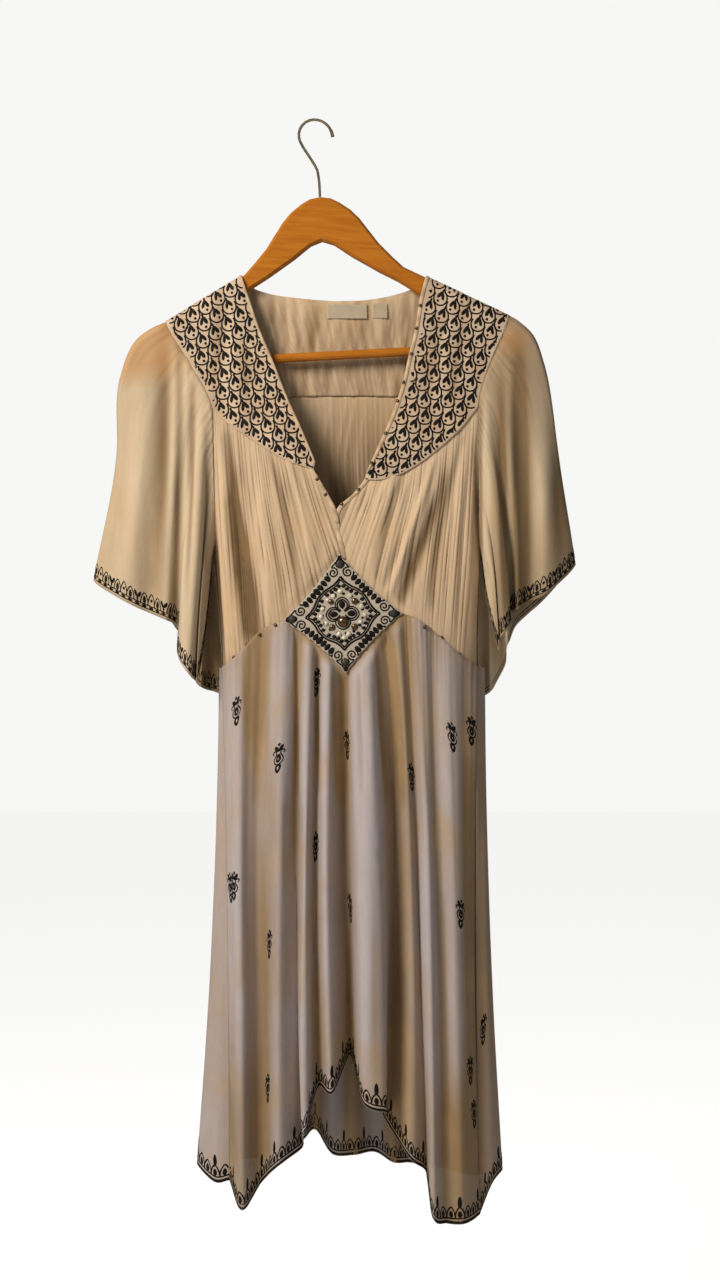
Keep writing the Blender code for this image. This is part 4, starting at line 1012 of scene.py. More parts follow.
# %% Sleeves
SLEEVE_CREASES = {
    "left": [
        (163, 325, 152, 580, 3, 9, -3.0), (172, 335, 168, 600, 2, 5, 2.2),
        (178, 345, 173, 610, 1, 4, -2.6), (185, 352, 183, 630, 1, 4, 1.8),
        (192, 385, 186, 640, 1, 3, -2.4), (201, 400, 184, 690, 3, 6, 4.2),
        (206, 420, 203, 560, 0, 4, -2.5), (140, 400, 118, 590, 4, 12, 1.5),
    ],
    "right": [
        (482, 400, 484, 600, 0, 3, -2.0), (488, 400, 493, 645, -2, 5, 3.6),
        (503, 380, 505, 620, 0, 5, -2.4), (511, 370, 512, 610, 0, 4, 1.2),
        (521, 350, 524, 600, 0, 8, -4.0), (544, 400, 546, 570, 0, 10, 2.4),
        (560, 440, 563, 560, 0, 8, -1.6),
    ],
}
# seeds of the gathers and the wrinkles, shade in front, behind and of the inner strip at the bodice
SLEEVE_LOOK = {"left": (81, 16, 0.68, None, 0.1), "right": (83, 17, 0.34, 0.35, 1.0)}


def sleeve_tint(side, x, z):
    """What shows through: the arm's shadow over the left sleeve, one soft spot on the right one."""
    if side == "right":
        return 0.6 * np.exp(-((x - 206) ** 2 + (z + 231) ** 2) / 16**2)
    under = (z + 282 - 0.12 * (x + 180)) / 26
    return 0.62 * np.clip(under, 0, 1) ** 0.8 * np.clip((-118 - x) / 40, 0.15, 1)


for side in SIDES:
    name, grid = "sleeve_" + side, sleeve_grid(side)
    gather_seed, wave_seed, front_shade, back_shade, inner_shade = SLEEVE_LOOK[side]
    u, v = shares_of(grid)
    lines = pleats(u, v, 64, gather_seed, 0.01) * np.exp(-v * 4) * np.clip(v * 30, 0, 1)
    waves = crumple(grid, 12.0, wave_seed, 6.0)
    deep = creases(grid, SLEEVE_CREASES[side]) + creases(grid, SLEEVE_CREASES[side], 1)
    grid = raised(grid, 2.0 * lines + 0.4 * waves * np.clip(v * 5, 0, 1) + 0.7 * deep, -1)
    surfaces[name], behind = grid, grid[..., 1] > 0
    # painted light and shade: the gathers near the top and the creases in their own shade; the right
    # sleeve darker, as less light reaches it, and its back layer in shadow; the inner strip dark in
    # shadow on the left and lit on the right
    shade = front_shade + 0.6 * (lines - 0.5 * np.exp(-v * 4)) + 0.15 * waves + 0.26 * deep
    if back_shade:
        shade = np.where(behind, back_shade, shade)
    out = outward(side) * (grid[..., 0] - SLEEVE_SIDE[side])
    inner = np.clip((34 - out) / 8, 0, 1) * behind
    shade = shade * (1 - inner) + inner * inner_shade
    tint = sleeve_tint(side, grid[..., 0], grid[..., 2])
    sheer_panel(name, shade, sleeve_cotton, tint, 0.86 + 0.14 * inner)

# %% [markdown]
# ## Embroidery
#
# All black work is made of strokes: a line of points with a width at each. A stroke becomes a low
# ribbon with a raised middle, like laid thread, and its edges sink into the cloth. A leaf, a drop and
# a dot are short strokes that swell and close again.

# %% Strokes
def line(points, width, steps=None, taper=True):
    """A smooth stroke through points, closing to a point at both ends if it tapers."""
    points = np.asarray(points, float)
    t = np.linspace(0, 1, steps or max(4, int(lengths_along(points)[-1] / 1.6) + 2))
    swell = np.full(len(t), width) * (np.sqrt(np.clip(1 - np.abs(2 * t - 1) ** 8, 0, 1)) if taper else 1)
    return along(points, t), swell


def mirrored(half):
    """A line's points and the same ones mirrored, round a last point in the middle."""
    return half + [(-x, z) for x, z in half[-2::-1]]


def arch(half, width, steps, x=0):
    """A stroke over a mirrored line."""
    return line([(x + a, z) for a, z in mirrored(half)], width, steps, False)


def leaf(start, end, width, fullest=0.5, steps=7):
    """A leaf or drop from its start to its end, widest at a share of its length."""
    t = np.linspace(0, 1, steps)
    warp = np.where(t < fullest, t / fullest / 2, 0.5 + (t - fullest) / (1 - fullest) / 2)
    points = np.asarray(start, float) + t[:, None] * (np.asarray(end, float) - start)
    return points, width * np.sqrt(np.sin(math.pi * warp).clip(0, 1))


def dot(x, z, radius):
    return leaf((x, z + radius), (x, z - radius), 2 * radius, steps=6)


def moved(strokes, x=0.0, z=0.0, turn=0.0, size=1.0, mirror=False):
    """Strokes turned, resized, mirrored and moved."""
    c, s = math.cos(turn), math.sin(turn)
    made = []
    for points, widths in strokes:
        a, b = (-points[:, 0] if mirror else points[:, 0]) * size, points[:, 1] * size
        made.append((np.stack([x + a * c - b * s, z + a * s + b * c], axis=1), widths * size))
    return made


def bolder(strokes, share):
    return [(points, widths * share) for points, widths in strokes]


# %% Thread
def thread(name, colour):
    """A twisted thread, a little worn in patches."""
    material, tree, shader = fresh(name)
    place = node(tree, "ShaderNodeTexCoord").outputs["Object"]
    strands, patches = noise(tree, place, 1400.0, 3.0), noise(tree, place, 60.0, 2.0)
    worn = tuple(min(1, c * 1.6 + 0.003) for c in colour)
    fill(shader, {
        "Base Color": mixed(tree, (*colour, 1), (*worn, 1), ramp(tree, patches, (0.4, 0.75, 0, 0.7))),
        "Roughness": 0.55, "Specular IOR Level": 0.12, "Normal": bumped(tree, strands, 0.5, 0.0003),
    })
    return material


black_thread = thread("black_thread", (0.006, 0.0045, 0.0035))
pale_thread = thread("pale_thread", (0.45, 0.37, 0.25))

# one half of a ribbon's section: share of the width from the middle, height over the cloth
PROFILE = [(0.5, -0.12), (0.4, 0.16), (0.0, 0.34)]


def ribbon(stroke, place, sides, over, rise, first):
    """Points and faces of one stroke, with its points numbered from the first."""
    points, widths = stroke
    step = np.gradient(points, axis=0)
    step /= np.maximum(np.linalg.norm(step, axis=1, keepdims=True), 1e-9)
    aside = np.stack([-step[:, 1], step[:, 0]], axis=1) * widths[:, None]
    count = len(points)
    flat = np.concatenate([points + aside * share for share, _ in sides])
    heights = np.repeat([over + lift * (rise if lift > 0 else 1) for _, lift in sides], count)
    where, kept = place(flat, heights)
    kept = kept.reshape(len(sides), count).all(axis=0)
    along_it = np.flatnonzero(kept[:-1] & kept[1:])
    starts = (first + row * count + k for k in along_it for row in range(len(sides) - 1))
    return list(where), [(a, a + count, a + count + 1, a + 1) for a in starts]


def laid(name, groups, material, over=0.25, rise=1.0):
    """One mesh of many strokes: each group's place turns points and heights into positions."""
    sides = mirrored(PROFILE)
    points, faces, total = [], [], 0
    for strokes, place in groups:
        for stroke in strokes:
            where, quads_of_it = ribbon(stroke, place, sides, over, rise, len(points))
            points += where
            faces += quads_of_it
        total += len(strokes)
    used = sorted({v for face in faces for v in face})
    renumber = {v: i for i, v in enumerate(used)}
    faces = [[renumber[v] for v in face] for face in faces]
    print(f"{name}: {total} strokes, {len(faces)} faces")
    return piece(name, np.array(points)[used], faces, material)


# %% Places on the cloth
def seen_from_front(grid, margins=(0.0, 0.0)):
    """Places for points given as x and height, straight onto the cloth's front."""
    tree, columns = BVHTree.FromPolygons(grid.reshape(-1, 3).tolist(), quads(grid)), grid.shape[1]

    def place(flat, heights):
        where, kept = np.zeros((len(flat), 3)), np.zeros(len(flat), bool)
        for k, (x, z) in enumerate(flat):
            hit, normal, index, _ = tree.ray_cast(Vector((x, -400, z)), Vector((0, 1, 0)))
            if hit is None:
                continue
            share = (index % (columns - 1)) / (columns - 2)
            where[k] = hit + (normal if normal.y < 0 else -normal) * heights[k]
            kept[k] = margins[0] <= share <= 1 - margins[1]
        return where, kept

    return place


def read(grid, r, c):
    """A grid of points read between its rows and columns."""
    rows, columns = grid.shape[:2]
    r, c = np.clip(r, 0, rows - 1.001), np.clip(c, 0, columns - 1.001)
    i, j = r.astype(int), c.astype(int)
    s, t = (r - i)[:, None], (c - j)[:, None]
    first, second = (grid[i, k] * (1 - s) + grid[i + 1, k] * s for k in (j, j + 1))
    return first * (1 - t) + second * t


def wrapped(grid, x, z, towards, room=9):
    """Places round one spot of the cloth, measured along the cloth itself."""
    out = outwards(grid, towards)
    gap = np.hypot(grid[..., 0] - x, grid[..., 2] - z)
    i, j = np.unravel_index(gap.argmin(), gap.shape)
    across, down = lengths_along(grid[i]), lengths_along(grid[:, j])
    centre = np.clip(across[j], room, across[-1] - room)

    def place(flat, heights):
        s, t = centre + flat[:, 0], down[i] - flat[:, 1]
        c, r = np.interp(s, across, np.arange(len(across))), np.interp(t, down, np.arange(len(down)))
        inside = (s > 0) & (s < across[-1]) & (t > 0) & (t < down[-1])
        return read(grid, r, c) + read(out, r, c) * heights[:, None], inside

    return place


def hem_length(grid):
    return np.linalg.norm(np.diff(grid[-1], axis=0), axis=1).sum()


def hemmed(grid, towards):
    """Places along a hem: how far along it, and how far above its edge."""
    out, along_hem = outwards(grid, towards), lengths_along(grid[-1])
    above = np.concatenate([np.zeros((1, grid.shape[1])), np.cumsum(steps_of(grid)[1][::-1], axis=0)])

    def place(flat, heights):
        c = np.interp(flat[:, 0], along_hem, np.arange(len(along_hem)))
        near = above[:, np.round(c).astype(int)]
        r = np.array([np.interp(up, near[:, k], np.arange(len(near))) for k, up in enumerate(flat[:, 1])])
        r = len(grid) - 1 - r
        inside = (flat[:, 0] >= 0) & (flat[:, 0] <= along_hem[-1])
        return read(grid, r, c) + read(out, r, c) * heights[:, None], inside

    return place


# %% [markdown]
# ## The yokes' scales
#
# Rows of rounded scales lie over each other like roof tiles, and each holds a bud: three thick
# leaves that lean together, and a dot.

# %% Scales
SCALE_WIDTH, SCALE_PITCH = 12.4, 17.9
SCALE_TOP, SCALE_EDGE, NECK_MIDDLE = 204.0, 105.0, 26.3  # where the first scale of the first column lies
SCALE_DRIFT, SCALE_TURN = 0.068, 0.03  # how the columns drift out on their way down, and their turn
# one side of its outline: x as a share of half the width, height
SCALE_HALF = [(0.8, 4.4), (1.05, 1.6), (1.16, -2.4), (1.02, -5.8), (0.56, -8.5)]


def scale(rng):
    """One scale round its middle."""
    w, low = SCALE_WIDTH / 2 * rng.uniform(0.96, 1.0), -9.2 + rng.uniform(-0.4, 0.4)
    bud = [
        leaf((-3.6, 7.8), (-2.2, 4.2), 2.5), leaf((-2.1, 5.6), (-2.8, -4.2), 3.5, 0.68),
        leaf((-2.6, 5.6), (3.3, -1.4), 4.0, 0.68), dot(2.3, -4.3, 1.5),
    ]
    outline = arch([(-w * x, z) for x, z in SCALE_HALF] + [(0, low)], 1.85, 19)
    return [outline] + moved(bud, turn=rng.uniform(-0.14, 0.14), size=rng.uniform(1.02, 1.14))


def scales(side, seed):
    """Columns of scales from the neck outwards, each a little out of line."""
    rng = np.random.default_rng(seed)
    strokes = []
    for column in range(-7, 9):
        for row in range(-2, 10):
            down = SCALE_TOP + SCALE_PITCH * (row + 0.5 * (column % 2)) + rng.uniform(-0.5, 0.5)
            out = SCALE_EDGE - SCALE_WIDTH * column + SCALE_DRIFT * (down - SCALE_TOP)
            x = NECK_MIDDLE + outward(side) * (out + rng.uniform(-0.4, 0.4))
            turn = outward(side) * SCALE_TURN
            strokes += moved(scale(rng), x, -down, turn, mirror=side == "right")
    return strokes


for side, seed, bare_neck in (("left", 91, 0.01), ("right", 92, 0.06)):
    place = seen_from_front(surfaces["front_yoke_" + side], (bare_neck, 0.008))
    laid("yoke_work_" + side, [(scales(side, seed), place)], black_thread, 0.4)

# %% [markdown]
# ## The medallion
#
# A diamond of pale cloth over the meeting point of the pleats. Its work is the same on all four
# sides: a leaf border, a double line that bends, dots, paired spirals and a pointed drop at the tips.

# %% The diamond
MEDALLION_CENTRE, MEDALLION_TILT = (28.2, -517.4), math.radians(3.2)
MEDALLION_SAG, MEDALLION_HOLLOW = 3.7, 0.07  # how low its side tips hang, and how far its sides draw in
MEDALLION_STAND, UNDER_LAYERS = 0.9, 1.0  # clear space over the panels, and the pleats under it
SCALLOPS, SCALLOP_DEPTH, RIM = 26, 0.012, 0.98  # small waves of its edge, outside this share of it


def on_medallion(points):
    """The medallion's own places as x and height, with its side tips a little low."""
    a, b = points[..., 0] * 1.03, points[..., 1] * 1.02 - MEDALLION_SAG * np.abs(points[..., 0]) / 60
    x = MEDALLION_CENTRE[0] + a * math.cos(MEDALLION_TILT) - b * math.sin(MEDALLION_TILT)
    z = MEDALLION_CENTRE[1] + a * math.sin(MEDALLION_TILT) + b * math.cos(MEDALLION_TILT)
    return np.stack([x, z], axis=-1)


a, b = np.meshgrid(np.linspace(-1, 1, 49), np.linspace(1, -1, 49))
across, up = (a - b) / 2, (a + b) / 2
off = np.abs(across) - np.abs(up)
draw = 1 - MEDALLION_HOLLOW * (1 - off**2)
scallop = 1 + SCALLOP_DEPTH * np.cos(off * SCALLOPS) * (np.maximum(abs(a), abs(b)) > RIM)
own = [place * draw * scallop * half for place, half in zip((across, up), MEDALLION_HALF)]
plan = on_medallion(np.stack(own, axis=2))
medallion = stand(plan, depth(plan[..., 0], plan[..., 1], FRONT) + MEDALLION_STAND + UNDER_LAYERS, -1)
pale_cotton = cotton("applique", (0.50, 0.43, 0.34), (0.30, 0.23, 0.16), SAND, 0.15)
# painted shade of small crinkles, on a diamond that has no crinkles of its own
painted_shade = 0.75 + 0.25 * crumple(medallion, 4, 5, 1)
panel("waist_medallion", medallion, painted_shade, pale_cotton, 0.9)
on_front = seen_from_front(medallion)


# %% Its embroidery
BEND = [  # the double line: share of the way from the right tip to the upper one, and x + height there
    (0, 37.5), (0.12, 36.6), (0.26, 38), (0.4, 41.4), (0.5, 42.2), (0.6, 41.4), (0.74, 38),
    (0.88, 36.6), (1, 37.5),
]
TIP_LINE = [(0, 60.5), (3, 53.5), (7.5, 49), (12.2, 44.5), (14, 41)]


def spiral(x, z, start, hand, radius=6.5, turns=1.9, width=1.35, steps=22):
    t = np.linspace(0, 1, steps)
    angle = math.radians(start) + hand * 2 * math.pi * turns * t
    r = radius * (1 - 0.86 * t)
    return np.stack([x + r * np.cos(angle), z + r * np.sin(angle)], axis=1), np.full(steps, width)


def quarter():
    """The work between two tips of the medallion, first as the corner up and to the right."""
    made = []
    for k, t in enumerate(np.linspace(0.27, 0.73, 7)):
        middle = np.array([t, 1 - t]) * (52.6 - 3.6 * (1 - (2 * t - 1) ** 2))
        reach, width = (4.8, 5.0) if k == 3 else (4.1, 4.4)
        out = np.array([0.64, 0.77]) if k > 3 else np.array([0.77, 0.64])
        made.append(leaf(middle + out * reach, middle - out * reach, width, 0.42))
    for inset, width in ((0, 1.7), (3.0, 1.2)):
        made.append(line([(t * (s - inset), (1 - t) * (s - inset)) for t, s in BEND], width, 26, False))
    for t in (0.08, 0.19, 0.3, 0.42, 0.58, 0.7, 0.81, 0.92):
        made.append(dot(*(np.array([t, 1 - t]) * (np.interp(t, *np.transpose(BEND)) - 6.6)), 2.0))
    made += [line(points, 1.3, 12, False) for points in (TIP_LINE, [(z, x) for x, z in TIP_LINE])]
    made.append(line([(14, 42), (28.2, 28.2), (42, 14)], 1.0, 14, False))
    made += [spiral(7.3, 42.0, -60, 1), spiral(42.0, 7.3, 150, -1)]
    made += [leaf((0.9, 59.4), (0.6, 53.4), 2.4), dot(0, 49.3, 4.0)]
    return made + [leaf((59.4, 0.9), (53.4, 0.6), 2.4), dot(50.3, 0, 4.0)]


petal = [
    leaf((0, 13.2), (0, 4.4), 5.4, 0.42), arch([(1.6, 2.6), (4.6, 6.2), (4.8, 10.6), (0, 14.2)], 1.4, 18),
    arch([(3.6, 3.4), (6.5, 6.6), (6.8, 11.4), (0, 16.6)], 1.2, 20),
]
strokes = []
for flip_a, flip_b in ((1, 1), (-1, 1), (1, -1), (-1, -1)):
    strokes += [(points * (flip_a, flip_b), widths) for points, widths in quarter()]
for turn in (0, 90, -90):
    strokes += moved(petal, turn=math.radians(turn))
strokes.append(arch([(6.9, -4), (7.4, -10), (0, -16.4)], 1.2, 18))
rng = np.random.default_rng(5)
for angle in np.radians(np.arange(12, 372, 24)):
    ray = np.array([math.cos(angle), math.sin(angle)])
    near, far = rng.uniform(18.0, 19.0), rng.uniform(21.5, 22.5)
    strokes.append(leaf(ray * near, ray * far, 2.6, 0.6))
strokes = [(on_medallion(points), widths) for points, widths in bolder(strokes, 1.32)]
laid("medallion_work", [(strokes, on_front)], black_thread, 0.45, 1.6)

# %% [markdown]
# ## Beads and studs
#
# A bead is a low dome. Geometry Nodes set one dome on each point of a small cloud of points, turned
# to the cloth and sized by an attribute.

# %% Domes by Geometry Nodes
def dome_tree(name, segments, rings, material, rise):
    tree = bpy.data.node_groups.new(name, "GeometryNodeTree")
    for way in ("INPUT", "OUTPUT"):
        tree.interface.new_socket("Geometry", in_out=way, socket_type="NodeSocketGeometry")
    cloud = tree.nodes.new("NodeGroupInput").outputs["Geometry"]
    facing, radius = (
        node(tree, "GeometryNodeInputNamedAttribute", {"Name": label}, data_type=kind).outputs[0]
        for label, kind in (("facing", "FLOAT_VECTOR"), ("radius", "FLOAT"))
    )
    ball = node(tree, "GeometryNodeMeshUVSphere", {"Segments": segments, "Rings": rings, "Radius": 1.0})
    low = node(tree, "GeometryNodeTransform", {"Geometry": ball.outputs["Mesh"], "Scale": (1, 1, rise)})
    smooth = node(tree, "GeometryNodeSetShadeSmooth", {"Geometry": low.outputs[0]})
    turn = node(tree, "FunctionNodeAlignRotationToVector", {"Vector": facing}, axis="Z")
    spread = node(tree, "GeometryNodeInstanceOnPoints", {
        "Points": cloud, "Instance": smooth.outputs[0],
        "Rotation": turn.outputs["Rotation"], "Scale": radius,
    })
    real = node(tree, "GeometryNodeRealizeInstances", {"Geometry": spread.outputs[0]})
    colour = node(tree, "GeometryNodeSetMaterial", {"Geometry": real.outputs[0], "Material": material})
    fill(tree.nodes.new("NodeGroupOutput"), {"Geometry": colour.outputs[0]})
    return tree


def domes(name, spots, place, material, rise, sink, segments=14, rings=8, nodes=()):
    """A dome at each spot: x, height and radius."""
    spots = np.array(spots, float)
    foot, kept = place(spots[:, :2], np.full(len(spots), sink))
    tip, _ = place(spots[:, :2], np.full(len(spots), sink + 1.0))
    cloud = bpy.data.meshes.new(name + "_points")
    cloud.from_pydata([tuple(p) for p in foot[kept] * MM], [], [])
    mark(cloud, "facing", (tip - foot)[kept], "FLOAT_VECTOR", "vector")
    mark(cloud, "radius", spots[kept, 2] * MM)
    holder = bpy.data.objects.new(name + "_points", cloud)
    bpy.context.scene.collection.objects.link(holder)
    holder.modifiers.new("domes", "NODES").node_group = dome_tree(name, segments, rings, material, rise)
    bpy.context.view_layer.update()
    made = bpy.data.meshes.new_from_object(holder.evaluated_get(bpy.context.evaluated_depsgraph_get()))
    made.name = name
    bpy.data.objects.remove(holder)
    print(f"{name}: {kept.sum()} domes, {len(made.polygons)} faces")
    return put(name, made, nodes)


def shiny(name, colour, roughness, metallic, coat=0.0, scale=260.0):
    """Metal or glass with fine wear that dulls its colour."""
    material, tree, shader = fresh(name)
    place = node(tree, "ShaderNodeTexCoord").outputs["Object"]
    wear = noise(tree, place, scale, 4.0)
    dull = tuple(c * 0.55 for c in colour)
    fill(shader, {
        "Base Color": mixed(tree, (*colour, 1), (*dull, 1), ramp(tree, wear, (0.4, 0.7, 0, 1))),
        "Roughness": ramp(tree, wear, (0.3, 0.7, roughness * 0.7, roughness * 1.5)),
        "Normal": bumped(tree, wear, 0.25, 0.0004), "Metallic": metallic, "Coat Weight": coat,
    })
    return material


bronze = shiny("bronze_bead", (0.15, 0.10, 0.055), 0.24, 0.85)
dark = shiny("dark_bead", (0.028, 0.023, 0.014), 0.55, 0.1)
clear = shiny("clear_bead", (0.75, 0.68, 0.52), 0.12, 0.0, 1.0)

# %% Beads of the medallion
# spots as x, height and radius round the medallion's middle
CORNERS = [(0, 50, 4.3), (0, -50, 4.3), (51, 0, 4.3), (-51, 0, 4.3)]
RING = [(-11, 13, 3.2), (13, 12.4, 3.7), (-11, -13, 3.4), (11.4, -13.6, 3.7)]
GLASS = [
    (-1.5, 22.5, 2.7), (8.5, 18, 2.5), (-8.5, 18.5, 2.4), (-14.5, 15, 2.1), (19.5, 7, 2.6),
    (22, -1.5, 2.6), (-22, -1, 2.6), (-20, 7, 2.4), (-5, -20.5, 2.7), (5, -21, 2.7),
    (17.5, -8.5, 2.4), (-17, -8.5, 2.4), (0, -25, 2.2),
]
# for each kind its spots and material, then how the domes are made
BEADS = {
    "medallion_bead": ([(0, -8.6, 6.0)], bronze, 0.75, 0.6, 24, 14, ["medallion_bead"]),
    "medallion_corners": (CORNERS, dark, 0.45, 0.3),
    "medallion_bronze": (RING, bronze, 0.6, 0.3),
    "medallion_glass": (GLASS, clear, 0.8, 0.5),
}
for name, (spots, material, *form) in BEADS.items():
    spots = np.array(spots, float)
    spots[:, :2] = on_medallion(spots[:, :2])
    domes(name, spots, on_front, material, *form)

# %% [markdown]
# ## Borders of the hems
#
# The sleeves end in a row of pointed arches and sprouts over a chain between two lines. The skirt's
# hem has a row of pointed petals with a dark spike now and then.

# %% Sleeve borders
def straight(length, up, width):
    xs = np.linspace(0, length, int(length / 2.4))
    return np.stack([xs, np.full(len(xs), up)], axis=1), np.full(len(xs), width)


def repeats(length, pitch):
    """Middles of a whole number of repeats along a length."""
    count = max(1, round(length / pitch))
    return [(k + 0.5) * (length / count) for k in range(count)]


def sleeve_border(length, start=0.0):
    """Arches and sprouts that touch, over a chain, above a plain edge."""
    made = [straight(length, 3.6, 1.2), straight(length, 7.2, 1.3)]
    for k, x in enumerate(repeats(length, 8.2)):
        made.append(leaf((x - 3.0, 5.3), (x + 3.0, 5.3), 2.9))
        if k % 4 == 0:
            made.append(line([(x, 7.0), (x, 13.4)], 2.3, 4))
            made += [leaf((x + hand * 0.2, 11.0), (x + hand * 3.8, 18.0), 3.6) for hand in (-1, 1)]
        elif k % 4 == 2:
            made += [arch([(-4.2, 8.0), (-3.4, 13.0), (0, 20.0)], 1.4, 13, x), dot(x, 13.0, 1.7)]
        else:
            made.append(arch([(-4.5, 7.8), (-3.9, 12.0), (0, 18.8)], 1.4, 12, x))
            made.append(leaf((x, 15.6), (x, 7.6), 4.4, 0.6))
    return [(points, widths) for points, widths in made if points[-1, 0] >= start]


for side, reverse_from in (("left", 0.6), ("right", 0.79)):
    grid = surfaces["sleeve_" + side]
    length = hem_length(grid)
    laid("sleeve_border_" + side, [(sleeve_border(length), hemmed(grid, -1))], black_thread)
    # its reverse, which shows inside the back layer
    strokes = sleeve_border(length, reverse_from * length)
    laid("sleeve_reverse_" + side, [(strokes, hemmed(grid, 1))], black_thread, 0.2, 0.6)


# %% Skirt borders
def skirt_border(length):
    """Petals with a filled heart over a line, and a tall spike on every third one."""
    made = [straight(length, 2.0, 3.0), straight(length, 6.0, 1.8)]
    for k, x in enumerate(repeats(length, 10.8)):
        made.append(arch([(-5.3, 6.4), (-4.8, 11.0), (0, 17.6)], 1.9, 12, x))
        made.append(leaf((x, 14.0), (x, 6.4), 5.6, 0.6))
        if k % 3 == 1:
            made.append(leaf((x + 0.4, 29.0), (x, 16.0), 5.4, 0.6))
    return made


for name, panel_name, towards, over, rise in (
    ("skirt_front_border", "skirt_front", -1, 0.25, 1.0),
    ("skirt_back_border", "skirt_back", 1, 0.25, 1.0),
    ("skirt_reverse", "skirt_back", -1, 0.2, 0.6),
):
    grid = surfaces[panel_name]
    laid(name, [(skirt_border(hem_length(grid)), hemmed(grid, towards))], black_thread, over, rise)

# %% [markdown]
# ## Motifs of the skirt
#
# A tulip stands on a scrolled frame with a drop inside, and a small drop hangs below. They are strewn
# over the whole skirt, also where the photo can't show them.

# %% Motifs
SCROLL = [
    (5.7, 3.8), (7.1, 4.9), (6.3, 6.9), (4.0, 7.1), (2.5, 5.2), (3.2, 2.6), (5.0, 0.2), (5.6, -2.0),
    (4.5, -4.8), (2.2, -6.4), (0, -6.9),
]
DROP = [(0, 3.4), (1.6, 0.2), (1.9, -2.4), (0, -3.9), (-1.9, -2.6), (-1.7, 0), (0, 3.4)]
LOW_DROP = [(0, -7.2), (2.5, -8.6), (2.0, -11.4), (-0.6, -14.6), (-2.6, -11.4), (-2.6, -8.8), (0, -7.2)]
tulip = [dot(0.2, 13.2, 1.7)]
tulip += [leaf((-5.2, 12.2), (0.3, 6.0), 4.2, 0.42), leaf((5.2, 12.4), (-0.1, 6.0), 4.2, 0.42)]
tulip += [line([(hand * x, z) for x, z in SCROLL], 1.4, 22, False) for hand in (-1, 1)]
tulip += [line(DROP, 2.7, 12, False), line(LOW_DROP, 2.7, 13, False)]

# places in the photo and the turn of each
FRONT_MOTIFS = [
    (237, 712, 0.05), (279, 757, -0.05), (316, 682, 0), (348, 745, 0.02), (411, 778, -0.03),
    (452, 737, 0.06), (480, 737, 0), (315, 846, 0), (223, 885, 0.1), (234, 888, -0.06),
    (269, 943, 0), (461, 913, -0.05), (350, 908, 0), (268, 1087, 0.05), (471, 1070, 0),
    (496, 1115, 0.08),
]
turned = [(*spot, 0.06 * (-1) ** k) for k, spot in enumerate(BACK_MOTIFS)]
for name, spots, towards, near in (
    ("skirt_front", FRONT_MOTIFS, -1, 0.984),
    ("skirt_back", turned, 1, 1.015),
):
    groups = []
    for px, py, turn in spots:
        place = wrapped(surfaces[name], *at_photo(px, py, near), towards)
        groups.append((bolder(moved(tulip, turn=turn), 1.15), place))
    laid(name + "_motifs", groups, black_thread)

# %% Studs along the neck and the waist seam
STUDS = {
    "left": [
        (317, 478.5), (325.5, 494), (315, 471), (233, 657.5), (246, 645), (259, 634.5), (275.5, 625),
    ],
    "right": [
        (421, 302), (341.7, 503.5), (417, 325), (412, 351), (404, 380), (398, 399), (386, 432),
        (358.6, 489), (372, 462), (424.5, 627), (441.6, 637.6), (460, 654.5),
    ],
}
STUD_RADIUS = 2.0
for side in SIDES:
    spots = [(*at_photo(px, py, 0.985), STUD_RADIUS) for px, py in STUDS[side]]
    whole = {"yoke": "front_yoke_" + side, "bodice": "front_bodice_" + side, "skirt": "skirt_front"}
    for part, name in whole.items():
        if not spots:
            break
        place = seen_from_front(surfaces[name])
        _, kept = place(np.array(spots)[:, :2], np.zeros(len(spots)))
        mine = [spot for spot, keep in zip(spots, kept) if keep]
        spots = [spot for spot, keep in zip(spots, kept) if not keep]
        if mine:
            domes(f"studs_{part}_{side}", mine, place, bronze, 0.85, 0.7, 12, 7)

# %% [markdown]
# ## Hanger and labels
#
# The wood, the bar and the hook keep the form of the solids. The wood is varnished beech: long fine
# grain under a thin clear coat. The labels are blank satin, sewn down along their ends.

# %% Wood and metal
BEECH, PALE_BEECH, PORES = (0.37, 0.112, 0.006), (0.46, 0.158, 0.009), (0.27, 0.075, 0.006)


def varnished(name):
    """Wood with grain and pores stretched along the hanger."""
    material, tree, shader = fresh(name)
    place = node(tree, "ShaderNodeTexCoord").outputs["Object"]
    turn = node(tree, "ShaderNodeMapping", {"Vector": place, "Rotation": (0, -TILT, 0)}).outputs[0]
    longer = node(tree, "ShaderNodeMapping", {"Vector": turn, "Scale": (1.0, 14.0, 14.0)}).outputs[0]
    grain = noise(tree, longer, 16.0, 6.0, Roughness=0.65, Distortion=0.6)
    pores = noise(tree, longer, 70.0, 3.0)
    tone = mixed(tree, (*BEECH, 1), (*PALE_BEECH, 1), ramp(tree, grain, (0.36, 0.64, 0, 1)))
    fill(shader, {
        "Base Color": mixed(tree, tone, (*PORES, 1), ramp(tree, pores, (0.62, 0.74, 0, 0.35))),
        "Roughness": ramp(tree, grain, (0.3, 0.7, 0.34, 0.46)),
        "Normal": bumped(tree, pores, 0.15, 0.0004),
        "Specular IOR Level": 0.18, "Coat Weight": 0.06, "Coat Roughness": 0.2,
    })
    return material


wood, metal = varnished("varnished_wood"), shiny("hook_metal", (0.46, 0.36, 0.22), 0.3, 1.0, 0.0, 180.0)
for name, material in (("hanger_wood", wood), ("hanger_bar", wood), ("hanger_hook", metal)):
    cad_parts[name].material_slots[0].material = material


# %% Labels
# left, right, top, bottom
LABELS = {"neck_label": (12, 54, -191.5, -206.5), "size_tag": (60, 75, -190.5, -206)}


